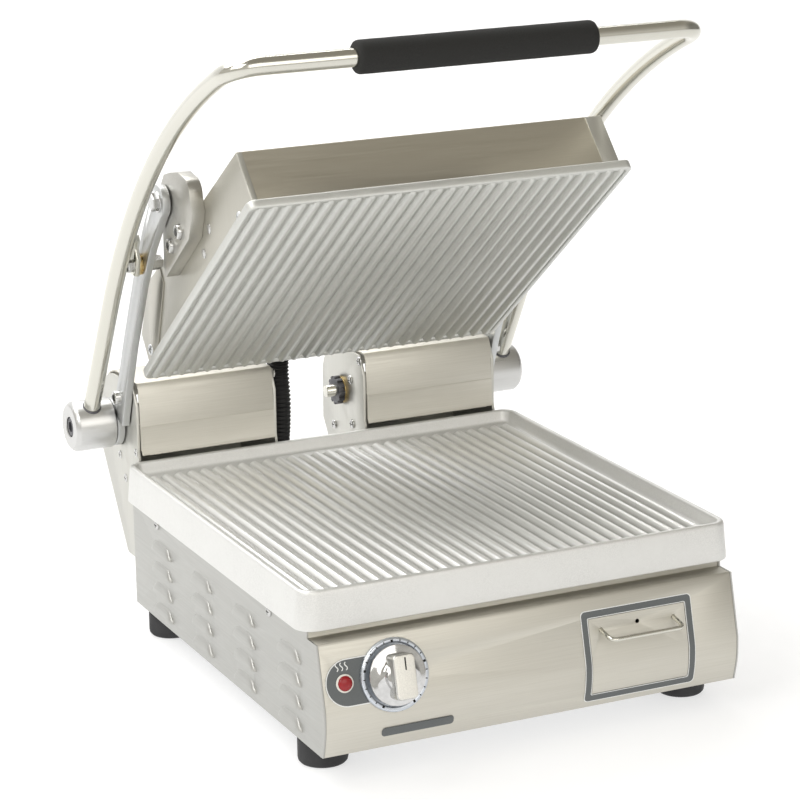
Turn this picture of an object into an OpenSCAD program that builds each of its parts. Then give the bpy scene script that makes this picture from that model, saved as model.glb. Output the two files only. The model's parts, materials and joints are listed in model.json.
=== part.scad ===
// Double-sided contact grill (panini press): ribbed lower plate on a louvred
// stainless body, ribbed upper platen carried by two cast arms and a bent-tube
// handle. Drawn with the platen raised. +X right, front towards -Y, +Z up.

/* [Body] */
// Width of the sheet-metal body
body_w = 394; // [380:1:400]
// Height of the rubber feet
foot_h = 25; // [15:1:40]
// Radius of a foot at its tread
foot_r = 21.5; // [15:0.5:24]
// Thickness of the body sheet
sheet = 1.5; // [1:0.1:2]
// Rows of louvres in each side panel
louvre_rows = 4; // [2:1:4]
// Columns of louvres in each side panel
louvre_cols = 4; // [2:1:4]

/* [Grill plates] */
// Width of the lower casting at its rim
plate_w = 405; // [400:1:410]
// Depth of the lower casting at its rim
plate_d = 412; // [408:1:416]
// Height of the skirt below the rim
skirt_h = 34; // [30:1:38]
// Height of the rim above the tips of the ribs
rim_rise = 8; // [6:0.5:10]
// Pitch of the grill ribs
rib_pitch = 12.7; // [12:0.1:12.8]
// Height of a rib above its valley
rib_h = 4; // [3:0.5:5]
// Ribs on the lower plate
lower_ribs = 30; // [26:2:30]
// Ribs on the upper plate
upper_ribs = 28; // [24:2:28]

/* [Platen] */
// Width of the upper casting
platen_w = 366; // [360:1:370]
// Depth of the upper casting
platen_d = 345; // [335:1:348]
// Height of the sheet cover above the upper casting at its front
cover_h = 51.5; // [45:0.5:55]
// Rise of the cover's top from its front to its rear shoulder
cover_rise = 13; // [4:1:14]
// Tilt of the raised platen
tilt = 38; // [30:1:38]

/* [Hinge and handle] */
// Angle through which the arms close
swing = 45.3; // [44:0.1:45.5]
// Outside diameter of the handle tube
tube_d = 15.9; // [14:0.1:17]
// Diameter of the foam grip
grip_d = 28.5; // [26:0.5:34]
// Length of the foam grip
grip_l = 220; // [180:1:260]
// Diameter of the hub barrels
barrel_d = 48; // [44:1:50]

/* [Controls and drawer] */
// Diameter of the dial's bezel
bezel_d = 62; // [56:1:66]
// Width of the drawer front
drawer_w = 94; // [80:1:96]
// Diameter of the drawer's wire pull
pull_d = 4; // [3:0.5:5]

/* [Hidden] */
$fn = 48;
gap = 0.2;

// body levels, front to back, measured from the middle of the lower plate
body_z = foot_h;
shelf_z = 120.5;
skirt_z = 128;
rim_z = skirt_z + skirt_h;
recess_y = -199;
shelf_y = -219;
crease = [-231.7, 53.6];
toe = [-227, body_z];
rear_y = 204.5;
side_x = body_w/2;
frame_front = -255.5;
frame_rear = 312;
mid_y = -(frame_front + frame_rear)/2;

// lower casting
wall = 6;
draft = 3;
corner_r = 15;
deck_top = rim_z - rim_rise - rib_h;
deck_t = 12;
rib_run = 372;

// hinge, towers and arms: x values are distances from the centre plane
hinge = [264, 187];
tower_in = 46;
tower_out = 187.5;
cheek_t = 2.5;
cover_in = 49;
cover_out = 184.5;
arm_x = [188.5, 195.5];
barrel_x = [196.2, 236];
shaft_r = 9;
neck_r = 6;
fit = 0.05;
eye = [114.5, 427];
eye_r = 15;
hub_r = 23;
tab_bolt = [162, 361];
cover_z = 234;

// platen frame: pivot at the origin, level, y towards the back
rib_tip = -94.6;
pl_front = -161.4;
pl_rear = pl_front + platen_d;
pl_base = rib_tip + 10.6;
pl_top = pl_base + cover_h;
box_x = 175;
box_front = pl_front + 8.5;
box_rear = pl_rear - 8;
shoulder_y = 123;
shoulder_drop = 30;
lean = 5;

// handle
tube_r = tube_d/2;
handle_x = 217;
rise_a = 30;
top_a = 67.5;
straight = 150;
sweep_r = 600;
bend_r = 26;

// controls on the sloping front panel
panel_top = [shelf_y, shelf_z - 2];
panel_low = crease + [-0.2, 12];
slope = atan2(panel_top[0] - panel_low[0], panel_top[1] - panel_low[1]);
low_bend = crease + [0.4, -11];
low_slope = atan2(toe[0] - low_bend[0], low_bend[1] - toe[1]);
dial = [-131.5, 87];
pilot = [-176, 87];
drawer_x = 99.5;
drawer_z = [37.5, 102.5];
label_w = 7.2;

// ---------- helpers ----------

// straights and bends of a bent bar are separate solids that butt at hairline seams
seam = 0.02;

// moves drawing coordinates, whose y starts mid plate, into the part's frame
module at() { translate([0, mid_y, 0]) children(); }

// extrudes an outline given as [y, z] along x
module along_x(x0, x1) { translate([x0, 0, 0]) rotate([90, 0, 90]) linear_extrude(x1 - x0) children(); }

// round bar along x at [y, z]
module bar_x(r, x0, x1, p = [0, 0]) {
    translate([x0, p[0], p[1]]) rotate([0, 90, 0]) cylinder(r = r, h = x1 - x0);
}

// round bar along y at [x, z], towards the back
module bar_y(r, y0, y1, p) { translate([p[0], y1, p[1]]) rotate([90, 0, 0]) cylinder(r = r, h = y1 - y0); }

// the same thing on the left and on the right
module both() { children(); mirror([1, 0, 0]) children(); }

// unit normal of a segment, to its left
function side_of(a, b) = let (d = b - a) [-d[1], d[0]]/norm(d);

// corner of an offset path where two segments meet
function miter(a, b, c, t) = let (m = side_of(a, b) + side_of(b, c)) b + m*(2*t/(m*m));

// a sheet of thickness t whose outside follows a path; t > 0 grows to the left
module ribbon(path, t) {
    n = len(path);
    inner = [for (i = [0:n-1])
        i == 0 ? path[0] + t*side_of(path[0], path[1]) :
        i == n-1 ? path[n-1] + t*side_of(path[n-2], path[n-1]) :
        miter(path[i-1], path[i], path[i+1], t)];
    polygon(concat(path, [for (i = [n-1:-1:0]) inner[i]]));
}

// points on an arc from angle a to angle b
function arc(c, r, a, b, n = 8) = [for (i = [0:n]) c + r*[cos(a + (b-a)*i/n), sin(a + (b-a)*i/n)]];

// rectangle with round corners, centred
module round_rect(w, h, r) {
    square([w - 2*r, h], center = true);
    square([w, h - 2*r], center = true);
    for (x = [-1, 1], y = [-1, 1]) translate([x*(w/2 - r), y*(h/2 - r)]) circle(r);
}

// face of the sloping front panel: x, height, distance out of the panel
module on_panel(x, z, out = 0) {
    y = panel_top[0] + (z - panel_top[1])*tan(slope);
    translate([x, y, z]) rotate([90 - slope, 0, 0]) translate([0, 0, out]) children();
}

// cross-section of ribs over a deck, tips at z = tip
module rib_comb(count, half_w, tip, deck) {
    first = -(count - 1)/2*rib_pitch;
    valley = tip - sign(tip - deck)*rib_h;
    flank = rib_pitch*0.36;
    crown = rib_pitch*0.16;
    polygon(concat([[-half_w, deck], [-half_w, valley]],
        [for (i = [0:count-1]) let (x = first + i*rib_pitch) each
            [[x - flank, valley], [x - crown, tip - sign(tip - valley)*0.5],
             [x - crown*0.6, tip], [x + crown*0.6, tip],
             [x + crown, tip - sign(tip - valley)*0.5], [x + flank, valley]]],
        [[half_w, valley], [half_w, deck]]));
}

// ---------- body ----------

// outside of the front panel, from the lip under the casting down to the toe
function front_path() = concat(
    [[recess_y, skirt_z + 9], [recess_y, shelf_z], [shelf_y + 2, shelf_z]],
    [panel_top, panel_low],
    [[crease[0] - 0.6, crease[1] + 4],
     [crease[0] - 0.4, crease[1] - 4], low_bend],
    [toe]);

module drawer_hole() {
    translate([drawer_x - drawer_w/2 - 1, frame_front, drawer_z[0] - 1])
        cube([drawer_w + 2, 60, drawer_z[1] - drawer_z[0] + 2]);
}

module front_panel() {
    color([0.75, 0.72, 0.63]) at() difference() {
        along_x(-side_x + sheet + gap, side_x - sheet - gap) ribbon(front_path(), sheet);
        drawer_hole();
        on_panel(dial[0], dial[1], -8) cylinder(r = 5, h = 20);
        on_panel(pilot[0], pilot[1], -8) cylinder(r = 6.2, h = 20);
    }
}

// one louvre: a pressed hood over a slot, on the left side at x = 0
module louvre_hood() {
    difference() {
        intersection() {
            translate([5.2, 22, 0]) rotate([90, 0, 0]) cylinder(r = 8.6, h = 44);
            translate([-6, -22, 0]) cube([6 + sheet/2, 44, 12]);
        }
        translate([5.2, 21, 0]) rotate([90, 0, 0]) cylinder(r = 7.4, h = 42);
    }
}

module louvre_slot() { translate([-1, -20, 0.5]) cube([sheet + 2, 40, 4]); }

module louvre_places() {
    for (c = [0:louvre_cols-1], r = [0:louvre_rows-1])
        translate([-side_x, 132 - 98*c, 36 + 20*r]) children();
}

side_holes = [[141, 119.5], [-122, 119.5]];

module side_panel() {
    neck = skirt_z - 0.5;
    outline = [[rear_y, body_z], [rear_y, neck], [199, neck], [199, skirt_z + 9], [-196, skirt_z + 9],
               [-196, neck], [recess_y - 1, neck], [recess_y - 1, shelf_z], [shelf_y, shelf_z], panel_top,
               panel_low, [crease[0] - 0.6, crease[1] + 4], [crease[0] - 0.4, crease[1] - 4], low_bend, toe];
    difference() {
        union() {
            along_x(-side_x, -side_x + sheet) polygon(outline);
            louvre_places() louvre_hood();
        }
        louvre_places() louvre_slot();
        for (p = side_holes) bar_x(2.6, -side_x - 1, -side_x + sheet + 1, p);
    }
}

module left_side_panel() { color([0.78, 0.77, 0.75]) at() side_panel(); }
module right_side_panel() { color([0.78, 0.77, 0.75]) at() mirror([1, 0, 0]) side_panel(); }

gland_at = [22, 58];
fitting_at = [-30, 92];

module rear_panel() {
    color([0.74, 0.73, 0.70]) at() difference() {
        translate([-side_x + sheet + gap, rear_y - sheet, body_z + sheet + gap])
            cube([body_w - 2*sheet - 2*gap, sheet, skirt_z - 0.5 - body_z - sheet - gap]);
        bar_y(9.2, rear_y - 5, rear_y + 5, gland_at);
        bar_y(12.7, rear_y - 5, rear_y + 5, fitting_at);
        for (s = [-1, 1], i = [0:8]) translate([s*(70 + 12*i) - 2.5, rear_y - 5, 32]) cube([5, 10, 20]);
    }
}

foot_places = [for (x = [-1, 1], y = [-174, 175]) [x*173.5, y]];

module bottom_pan() {
    color([0.70, 0.70, 0.68]) at() difference() {
        union() {
            translate([-side_x + sheet + gap, toe[0] + sheet + 1, body_z])
                cube([body_w - 2*sheet - 2*gap, rear_y - toe[0] - sheet - 1, sheet]);
            for (x = [-1, 1]) translate([x*(side_x - sheet - gap - 0.75) - 0.75, -195, body_z + sheet])
                cube([1.5, 380, 14]);
        }
        for (p = foot_places) translate([p[0], p[1], body_z - 1]) cylinder(r = 3.3, h = 5);
        for (i = [0:7]) translate([-84 + 24*i, -60, body_z - 1]) cube([6, 120, 5]);
    }
}

module feet() {
    color([0.13, 0.13, 0.13]) at() for (p = foot_places) translate([p[0], p[1], 0]) difference() {
        union() {
            cylinder(r1 = foot_r - 3, r2 = foot_r, h = 4);
            translate([0, 0, 4]) cylinder(r = foot_r, h = foot_h - 4);
        }
        translate([0, 0, -1]) cylinder(r = 7, h = foot_h - 6);
        cylinder(r = 3.1, h = foot_h + 1);
    }
}

module foot_screws() {
    color([0.6, 0.6, 0.6]) at() for (p = foot_places) translate([p[0], p[1], foot_h - 11]) {
        cylinder(r = 5.5, h = 4);
        cylinder(r = 3, h = 22);
    }
}

module side_screws() {
    color([0.8, 0.8, 0.78]) at() both() for (p = side_holes) difference() {
        union() {
            bar_x(4.4, -side_x - 2, -side_x - 0.01, p);
            bar_x(2.5, -side_x - 1, -side_x + 8, p);
        }
        for (a = [0, 90]) translate([-side_x - 2, p[0], p[1]]) rotate([a, 0, 0])
            cube([2.4, 4.4, 0.9], center = true);
    }
}

// ---------- lower plate ----------

module rim_slab(z, grow, inset) {
    translate([0, 0, z]) linear_extrude(0.01)
        round_rect(plate_w + 2*grow - 2*inset, plate_d + 2*grow - 2*inset, corner_r - inset/2);
}

drain = [drawer_x, -194];

module lower_plate() {
    color([0.86, 0.86, 0.84]) at() difference() {
        union() {
            difference() {
                hull() { rim_slab(rim_z - 0.01, 0, 0); rim_slab(skirt_z, draft, 0); }
                translate([0, 0, deck_top - deck_t]) linear_extrude(60)
                    round_rect(plate_w - 2*wall, plate_d - 2*wall, corner_r - wall/2);
                translate([0, 0, skirt_z - 1]) linear_extrude(deck_top - deck_t - skirt_z + 2)
                    round_rect(plate_w - 2*wall + 3, plate_d - 2*wall + 3, 8);
            }
            translate([0, 0, deck_top - deck_t]) linear_extrude(deck_t)
                round_rect(plate_w - 2*wall + 1, plate_d - 2*wall + 1, corner_r - wall/2);
            translate([0, rib_run/2, 0]) rotate([90, 0, 0]) linear_extrude(rib_run)
                rib_comb(lower_ribs, plate_w/2 - wall - 6, rim_z - rim_rise, deck_top - deck_t/2);
        }
        translate([drain[0], drain[1], deck_top - deck_t - 1]) cylinder(r = 5, h = deck_t + 2);
    }
}

// looped tubular heater: legs joined by half rings, drawn flat
module heater(legs, pitch, run, r) {
    for (i = [0:legs-1]) translate([(i - (legs-1)/2)*pitch, run/2, 0]) rotate([90, 0, 0])
        cylinder(r = r, h = run);
    for (i = [0:legs-2]) translate([(i - (legs-2)/2)*pitch, (i % 2 == 0 ? 1 : -1)*run/2, 0])
        rotate([0, 0, i % 2 == 0 ? 0 : 180]) rotate_extrude(angle = 180) translate([pitch/2, 0])
            circle(r);
}

module lower_element() {
    color([0.35, 0.33, 0.31]) at() translate([0, 0, deck_top - deck_t - 4.3]) heater(6, 60, 290, 4);
}

module lower_insulation() {
    color([0.85, 0.83, 0.76]) at() translate([-186, -170, deck_top - deck_t - 20])
        cube([372, 350, 11]);
}

// ---------- controls ----------

module thermostat() {
    color([0.55, 0.56, 0.58]) at() on_panel(dial[0], dial[1]) difference() {
        union() {
            translate([-22, -17, -38]) cube([44, 34, 32]);
            translate([0, 0, -6]) cylinder(r = 8, h = 6 - sheet - gap);
            for (x = [-12, 12], y = [-8, 8]) translate([x - 1.5, y - 3, -46]) cube([3, 6, 8]);
        }
        translate([0, 0, -28]) cylinder(r = 3 + fit, h = 40);
    }
}

module thermostat_shaft() {
    color([0.8, 0.8, 0.8]) at() on_panel(dial[0], dial[1]) translate([0, 0, -26]) cylinder(r = 3, h = 42);
}

module pilot_light() {
    color([0.7, 0.08, 0.1]) at() on_panel(pilot[0], pilot[1]) {
        intersection() {
            translate([0, 0, 0.8]) cylinder(r = 7.5, h = 5);
            translate([0, 0, -9]) sphere(r = 13.5);
        }
        translate([0, 0, -20]) cylinder(r = 6, h = 20.9);
    }
}

module control_label() {
    color([0.38, 0.40, 0.40]) at() on_panel(0, dial[1], 0.05) linear_extrude(0.5) difference() {
        hull() {
            translate([pilot[0] + 3, 0]) circle(r = 20, $fn = 96);
            translate([dial[0] - 8, 0]) circle(r = 20, $fn = 96);
        }
        translate([dial[0], 0]) circle(r = bezel_d/2 + 0.1);
        translate([pilot[0], 0]) circle(r = 7.8);
    }
}

module dial_bezel() {
    color([0.82, 0.83, 0.85]) at() on_panel(dial[0], dial[1], 0.05) difference() {
        union() {
            cylinder(r = bezel_d/2, h = 2);
            translate([0, 0, 2]) cylinder(r1 = bezel_d/2, r2 = bezel_d/2 - 2.5, h = 2);
        }
        translate([0, 0, 1.2]) cylinder(r = 26.5, h = 6);
        translate([0, 0, -1]) cylinder(r = 6, h = 6);
    }
}

knob_out = 7;

module knob() {
    color([0.83, 0.83, 0.82]) at() on_panel(dial[0], dial[1], knob_out) difference() {
        union() {
            cylinder(r = 25.5, h = 2);
            translate([0, 0, 2]) cylinder(r1 = 23, r2 = 13, h = 5);
            translate([-10, -19, 3]) cube([20, 38, 15]);
        }
        translate([0, 0, -1]) cylinder(r = 3.02, h = 10.2);
    }
}

module knob_insert() {
    color([0.87, 0.86, 0.82]) at() on_panel(dial[0], dial[1], knob_out + 18 + 0.05)
        linear_extrude(1.6) round_rect(18, 36, 4);
}

module badge_plate() {
    z = 39.5;
    y = toe[0] - (z - toe[1])*tan(low_slope);
    color([0.40, 0.42, 0.42]) at() translate([-112, y - 0.15, z]) rotate([90 + low_slope, 0, 0])
        linear_extrude(0.6) round_rect(66, 8, 3);
}

// ---------- grease drawer ----------

// a slice of the front panel's outside, as a closed outline pushed out by d
module panel_band(z0, z1, d, t) {
    y = function (z) z > panel_low[1] ? panel_top[0] + (z - panel_top[1])*tan(slope) : crease[0] - 0.6;
    top = [y(z1), z1];
    foot = [low_bend[0] + (low_bend[1] - z0)*tan(low_slope), z0];
    path = [foot, low_bend, [crease[0] - 0.4, crease[1] - 4],
            [crease[0] - 0.6, crease[1] + 4], [crease[0] - 0.2, crease[1] + 12], top];
    ribbon([for (p = path) p - [d, 0]], t);
}

module drawer_label() {
    color([0.38, 0.40, 0.40]) at() difference() {
        along_x(drawer_x - drawer_w/2 - label_w, drawer_x + drawer_w/2 + label_w)
            panel_band(drawer_z[0] - label_w, drawer_z[1] + label_w, 0.1, 0.5);
        drawer_hole();
    }
}

module drawer_front() {
    color([0.74, 0.72, 0.64]) at() difference() {
        along_x(drawer_x - drawer_w/2, drawer_x + drawer_w/2) panel_band(drawer_z[0], drawer_z[1], 0.4, -sheet);
        on_panel(drawer_x, 94, -6) cylinder(r = 1.9, h = 12);
        for (x = [-1, 1]) on_panel(drawer_x + 35.5*x, 92) rotate([24, 0, 0]) translate([0, 0, -6])
            cylinder(r = 2.05, h = 12);
    }
}

tray_y = -226;
tray_back = -50;

module drawer_tray() {
    color([0.72, 0.72, 0.70]) at() difference() {
        translate([drawer_x - 43, tray_y, 40]) cube([86, tray_back - tray_y, 52]);
        translate([drawer_x - 43 + 1.2, tray_y + 1.2, 41.2])
            cube([83.6, tray_back - tray_y - 2.4, 60]);
        translate([drawer_x - 50, tray_y - 1, 70]) cube([100, 8, 40]);
    }
}

module drawer_pull() {
    reach = 19;
    half = 35.5;
    droop = 24;
    r = pull_d/2;
    bend = 6;
    color([0.80, 0.79, 0.76]) at() on_panel(drawer_x, 92) rotate([droop, 0, 0]) {
        for (s = [-1, 1]) {
            translate([s*half, 0, -2]) cylinder(r = r, h = reach + 2 - bend - seam);
            translate([s*(half - bend), 0, reach - bend]) rotate([90, 0, s > 0 ? 0 : 180])
                rotate_extrude(angle = 90) translate([bend, 0]) circle(r);
        }
        translate([-half + bend + seam, 0, reach]) rotate([0, 90, 0])
            cylinder(r = r, h = 2*(half - bend - seam));
    }
}

module drawer_runners() {
    color([0.7, 0.7, 0.7]) at() for (s = [-1, 1]) {
        x = drawer_x + s*44.6;
        translate([x - 0.7, -200, body_z + sheet + gap]) cube([1.4, 170, 40]);
        translate([s < 0 ? x - 0.7 : x - 7.3, -200, 38]) cube([8, 170, 1.6]);
    }
}

// ---------- hinge towers ----------

cheek = concat(
    [[rear_y + 1.8, 60], [rear_y + 1.8, 126], [210, 126.5], [210, 160], [212, 168], [212, cover_z - 22], [222, cover_z - 3]],
    arc([269, 190], 41, 90, 10, 10),
    [[310, 148], [251, 62], [248, 60]]);

module tower() {
    difference() {
        union() {
            along_x(-tower_out, -tower_out + cheek_t) polygon(cheek);
            along_x(-tower_in - cheek_t, -tower_in) polygon(cheek);
            // the back sheet and the foot that bolts to the body
            along_x(-tower_out + cheek_t/2, -tower_in - cheek_t/2)
                ribbon([[249, 60.4], [310, 148.4], [310, 188]], 2);
            translate([-tower_out + cheek_t/2, rear_y + 0.2, 60])
                cube([tower_out - tower_in - cheek_t, 2, 62]);
        }
        bar_x(12 + gap/10, -tower_out - 1, -tower_out + 4, hinge);
        bar_x(10 + gap/10, -tower_in - 4, -tower_in + 1, hinge);
    }
}

module left_hinge_tower() { color([0.80, 0.79, 0.74]) at() tower(); }
module right_hinge_tower() { color([0.80, 0.79, 0.74]) at() mirror([1, 0, 0]) tower(); }

module spring_cover() {
    outside = concat([[207.5, 166], [210, 170], [210.6, 192], [213, cover_z - 6], [217, cover_z]],
                     arc([269, 190], cover_z - 190, 90, 8, 9));
    difference() {
        along_x(-cover_out, -cover_in) ribbon(outside, -sheet);
        translate([-cover_out - 1, 200, 160]) cube([8, 20, 10]);
    }
}

module left_spring_cover() { color([0.77, 0.75, 0.68]) at() spring_cover(); }
module right_spring_cover() { color([0.77, 0.75, 0.68]) at() mirror([1, 0, 0]) spring_cover(); }

// helical torsion spring round the shaft
coils = 9;
wire_r = 3;
coil_r = 16;
ring_steps = 14;
wire_sides = 6;

function coil_ring(i) = let (a = i*360/ring_steps, x = i*(2*wire_r + 0.7)/ring_steps)
    [for (k = [0:wire_sides-1]) let (b = k*360/wire_sides, rr = coil_r + wire_r*cos(b))
        [x + wire_r*sin(b), rr*cos(a), rr*sin(a)]];

module spring() {
    rings = coils*ring_steps;
    pts = [for (i = [0:rings]) each coil_ring(i)];
    side = [for (i = [0:rings-1], k = [0:wire_sides-1]) let (n = (k + 1) % wire_sides)
        [i*wire_sides + k, (i + 1)*wire_sides + k, (i + 1)*wire_sides + n, i*wire_sides + n]];
    translate([-150, hinge[0], hinge[1]]) polyhedron(pts, concat(side,
        [[for (k = [0:wire_sides-1]) k]], [[for (k = [wire_sides-1:-1:0]) rings*wire_sides + k]]));
}

module left_torsion_spring() { color([0.35, 0.35, 0.36]) at() spring(); }
module right_torsion_spring() { color([0.35, 0.35, 0.36]) at() mirror([1, 0, 0]) spring(); }

module shaft() {
    bar_x(shaft_r, -barrel_x[1] + 8, -52, hinge);
    bar_x(neck_r, -52, -28.5, hinge);
}

module left_shaft() { color([0.62, 0.61, 0.58]) at() shaft(); }
module right_shaft() { color([0.62, 0.61, 0.58]) at() mirror([1, 0, 0]) shaft(); }

module bearing_bushes() {
    color([0.70, 0.55, 0.28]) at() both() {
        difference() {
            union() {
                bar_x(12, -tower_out, -tower_out + cheek_t + 2, hinge);
                bar_x(15, -tower_out + cheek_t + gap/10, -tower_out + cheek_t + 2, hinge);
            }
            bar_x(shaft_r + fit, -tower_out - 1, -tower_out + 10, hinge);
        }
        difference() {
            union() {
                bar_x(10, -tower_in - cheek_t, -tower_in + 1.5, hinge);
                bar_x(13, -tower_in + gap/10, -tower_in + 1.5, hinge);
            }
            bar_x(neck_r + fit, -tower_in - 10, -tower_in + 10, hinge);
        }
    }
}

module shaft_lock_nuts() {
    teeth = 12;
    color([0.45, 0.43, 0.40]) at() both() difference() {
        union() {
            bar_x(12.2, -tower_in + 2, -tower_in + 8, hinge);
            for (i = [0:teeth-1]) translate([-tower_in + 2, hinge[0], hinge[1]])
                rotate([i*360/teeth, 0, 0]) translate([0, -1.6, 11]) cube([6, 3.2, 3]);
        }
        bar_x(neck_r + 0.02, -tower_in, -tower_in + 10, hinge);
    }
}

// ---------- arms, barrels and handle ----------

rise_dir = [-sin(rise_a), cos(rise_a)];

module barrel() {
    r = barrel_d/2;
    difference() {
        union() {
            bar_x(r, -barrel_x[1] + 4, -barrel_x[0], hinge);
            translate([-barrel_x[1], hinge[0], hinge[1]]) rotate([0, 90, 0])
                cylinder(r1 = r - 3.5, r2 = r, h = 4.01);
        }
        bar_x(shaft_r + 0.02, -barrel_x[1] + 7.9, -barrel_x[0] + 1, hinge);
        bar_x(5.05, -barrel_x[1] - 1, -barrel_x[1] + 8.5, hinge);
        translate([-handle_x, hinge[0], hinge[1]]) rotate([rise_a, 0, 0])
            translate([0, 0, shaft_r + 4]) cylinder(r = tube_r + 0.02, h = 30);
    }
}

module left_barrel() { color([0.80, 0.80, 0.79]) at() barrel(); }
module right_barrel() { color([0.80, 0.80, 0.79]) at() mirror([1, 0, 0]) barrel(); }

module barrel_screws() {
    color([0.25, 0.25, 0.26]) at() both() translate([-barrel_x[1] - 0.6, hinge[0], hinge[1]])
        rotate([0, 90, 0]) difference() {
            cylinder(r = 5, h = 8.2);
            translate([0, 0, -1]) cylinder(r = 3, h = 5, $fn = 6);
        }
}

arm_line = [[242, 196], [223.5, 237], [204.5, 280], [171, 346], [146, 386], [eye[0], eye[1]]];
arm_half = [13, 10.5, 10, 10.5, 12, 14.5];

module arm() {
    difference() {
        along_x(-arm_x[1], -arm_x[0]) union() {
            n = len(arm_line);
            polygon(concat(
                [for (i = [0:n-1]) arm_line[i] + arm_half[i]*side_of(arm_line[max(i-1, 0)], arm_line[min(i+1, n-1)])],
                [for (i = [n-1:-1:0]) arm_line[i] - arm_half[i]*side_of(arm_line[max(i-1, 0)], arm_line[min(i+1, n-1)])]));
            translate(hinge) circle(hub_r);
            translate(eye) circle(eye_r);
        }
        bar_x(shaft_r + 0.02, -arm_x[1] - 1, -arm_x[0] + 1, hinge);
        bar_x(5.02, -arm_x[1] - 1, -arm_x[0] + 1, eye);
        bar_x(4.02, -arm_x[1] - 1, -arm_x[0] + 1, tab_bolt);
        bar_x(4.02, -arm_x[1] - 1, -arm_x[0] + 1, [232, 219]);
    }
}

module left_arm() { color([0.76, 0.76, 0.74]) at() arm(); }
module right_arm() { color([0.76, 0.76, 0.74]) at() mirror([1, 0, 0]) arm(); }

module arm_screws() {
    color([0.7, 0.7, 0.7]) at() both() difference() {
        union() {
            bar_x(6.5, -arm_x[1] - 7, -arm_x[1] - 0.02, [232, 219]);
            bar_x(4, -arm_x[1] - 1, -arm_x[0] - 0.2, [232, 219]);
        }
        translate([-arm_x[1] - 8, 232, 219]) rotate([0, 90, 0]) cylinder(r = 3.4, h = 5, $fn = 6);
    }
}

// handle path in its own plane: straight rise, long sweep, then a bend to the bar
rise_end = hinge + straight*rise_dir;
sweep_c = rise_end + sweep_r*[-cos(rise_a), -sin(rise_a)];
sweep_end = sweep_c + sweep_r*[cos(top_a), sin(top_a)];
top_dir = [-sin(top_a), cos(top_a)];
bar_at = sweep_end + bend_r*top_dir;

module side_tube() {
    start = shaft_r + 5;
    translate([-handle_x, hinge[0], hinge[1]]) rotate([rise_a, 0, 0]) translate([0, 0, start])
        cylinder(r = tube_r, h = straight - start - seam);
    translate([-handle_x, sweep_c[0], sweep_c[1]]) rotate([90, 0, 90]) rotate([0, 0, rise_a])
        rotate_extrude(angle = top_a - rise_a) translate([sweep_r, 0]) circle(tube_r);
    translate([-handle_x + bend_r, sweep_end[0], sweep_end[1]]) rotate([top_a, 0, 0])
        translate([0, 0, seam]) rotate([90, 0, 0]) rotate([0, 0, 90]) rotate_extrude(angle = 90)
            translate([bend_r, 0]) circle(tube_r);
}

module handle_tube() {
    color([0.78, 0.77, 0.73]) at() {
        both() side_tube();
        bar_x(tube_r, -handle_x + bend_r + seam, handle_x - bend_r - seam, bar_at + seam*top_dir);
    }
}

module handle_grip() {
    c = 2;
    r = grip_d/2;
    color([0.16, 0.16, 0.15]) at() difference() {
        union() {
            bar_x(r, -grip_l/2 + c, grip_l/2 - c, bar_at);
            for (s = [0, 1]) mirror([s, 0, 0]) translate([grip_l/2 - c, bar_at[0], bar_at[1]])
                rotate([0, 90, 0]) cylinder(r1 = r, r2 = r - c, h = c);
        }
        bar_x(tube_r + 0.02, -grip_l/2 - 1, grip_l/2 + 1, bar_at);
    }
}

module handle_tabs() {
    color([0.76, 0.75, 0.71]) at() both() difference() {
        union() {
            along_x(-arm_x[1] - 9, -arm_x[1] - 5)
                polygon([tab_bolt + [-9, -9], tab_bolt + [9, -9], tab_bolt + [16, 2],
                         tab_bolt + [-1, 36], tab_bolt + [-14, 8]]);
            // the edge that is welded to the handle tube
            along_x(-handle_x + tube_r - 0.3, -arm_x[1] - 5)
                polygon([tab_bolt + [-5, 6], tab_bolt + [0, 8], tab_bolt + [-12, 30], tab_bolt + [-14, 24]]);
        }
        bar_x(4.05, -arm_x[1] - 10, -arm_x[1] - 4, tab_bolt);
    }
}

module lock_washers() {
    color([0.78, 0.66, 0.30]) at() both() difference() {
        bar_x(9, -arm_x[1] - 4.95, -arm_x[1] - 0.05, tab_bolt);
        bar_x(4.05, -arm_x[1] - 6, -arm_x[1] + 1, tab_bolt);
    }
}

pin_end = 176;

module stop_pins() {
    color([0.72, 0.72, 0.70]) at() both() translate([0, tab_bolt[0], tab_bolt[1]]) {
        bar_x(4, -arm_x[1] - 9.5, -arm_x[0] + 1);
        translate([-arm_x[1] - 13.1, 0, 0]) rotate([0, 90, 0]) cylinder(r = 7, h = 4.08, $fn = 6);
        translate([-arm_x[0] + 0.05, 0, 0]) rotate([0, 90, 0])
            cylinder(r = 7, h = arm_x[0] - pin_end, $fn = 6);
    }
}

module pivot_bolts() {
    color([0.68, 0.68, 0.66]) at() both() translate([0, eye[0], eye[1]]) {
        bar_x(5, -arm_x[1] - 1, -box_x + 1);
        translate([-arm_x[1] - 6, 0, 0]) rotate([0, 90, 0]) cylinder(r = 8.5, h = 5.98, $fn = 6);
        bar_x(7.5, -box_x + 0.6, -box_x + 5);
    }
}

// ---------- platen ----------

// places the level platen frame at the raised pose
module raised() { at() translate([0, eye[0], eye[1]]) rotate([-tilt, 0, 0]) children(); }

// outline of the sheet cover from the side, shrunk by d; its rear top edge is sloped off
module cover_side(d) {
    foot = pl_base - (d > 0 ? 1 : 0);
    shoulder = pl_top + cover_rise;
    polygon([[box_front + d, foot], [box_front + lean + d, pl_top - d], [shoulder_y - d/2, shoulder - d],
             [box_rear - d, shoulder - shoulder_drop - d/2], [box_rear - d, foot]]);
}

side_screw_pl = [[-118.5, -79.4], [162.9, -72]];
exit_pl = [-30, pl_base + 17.5];

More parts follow.
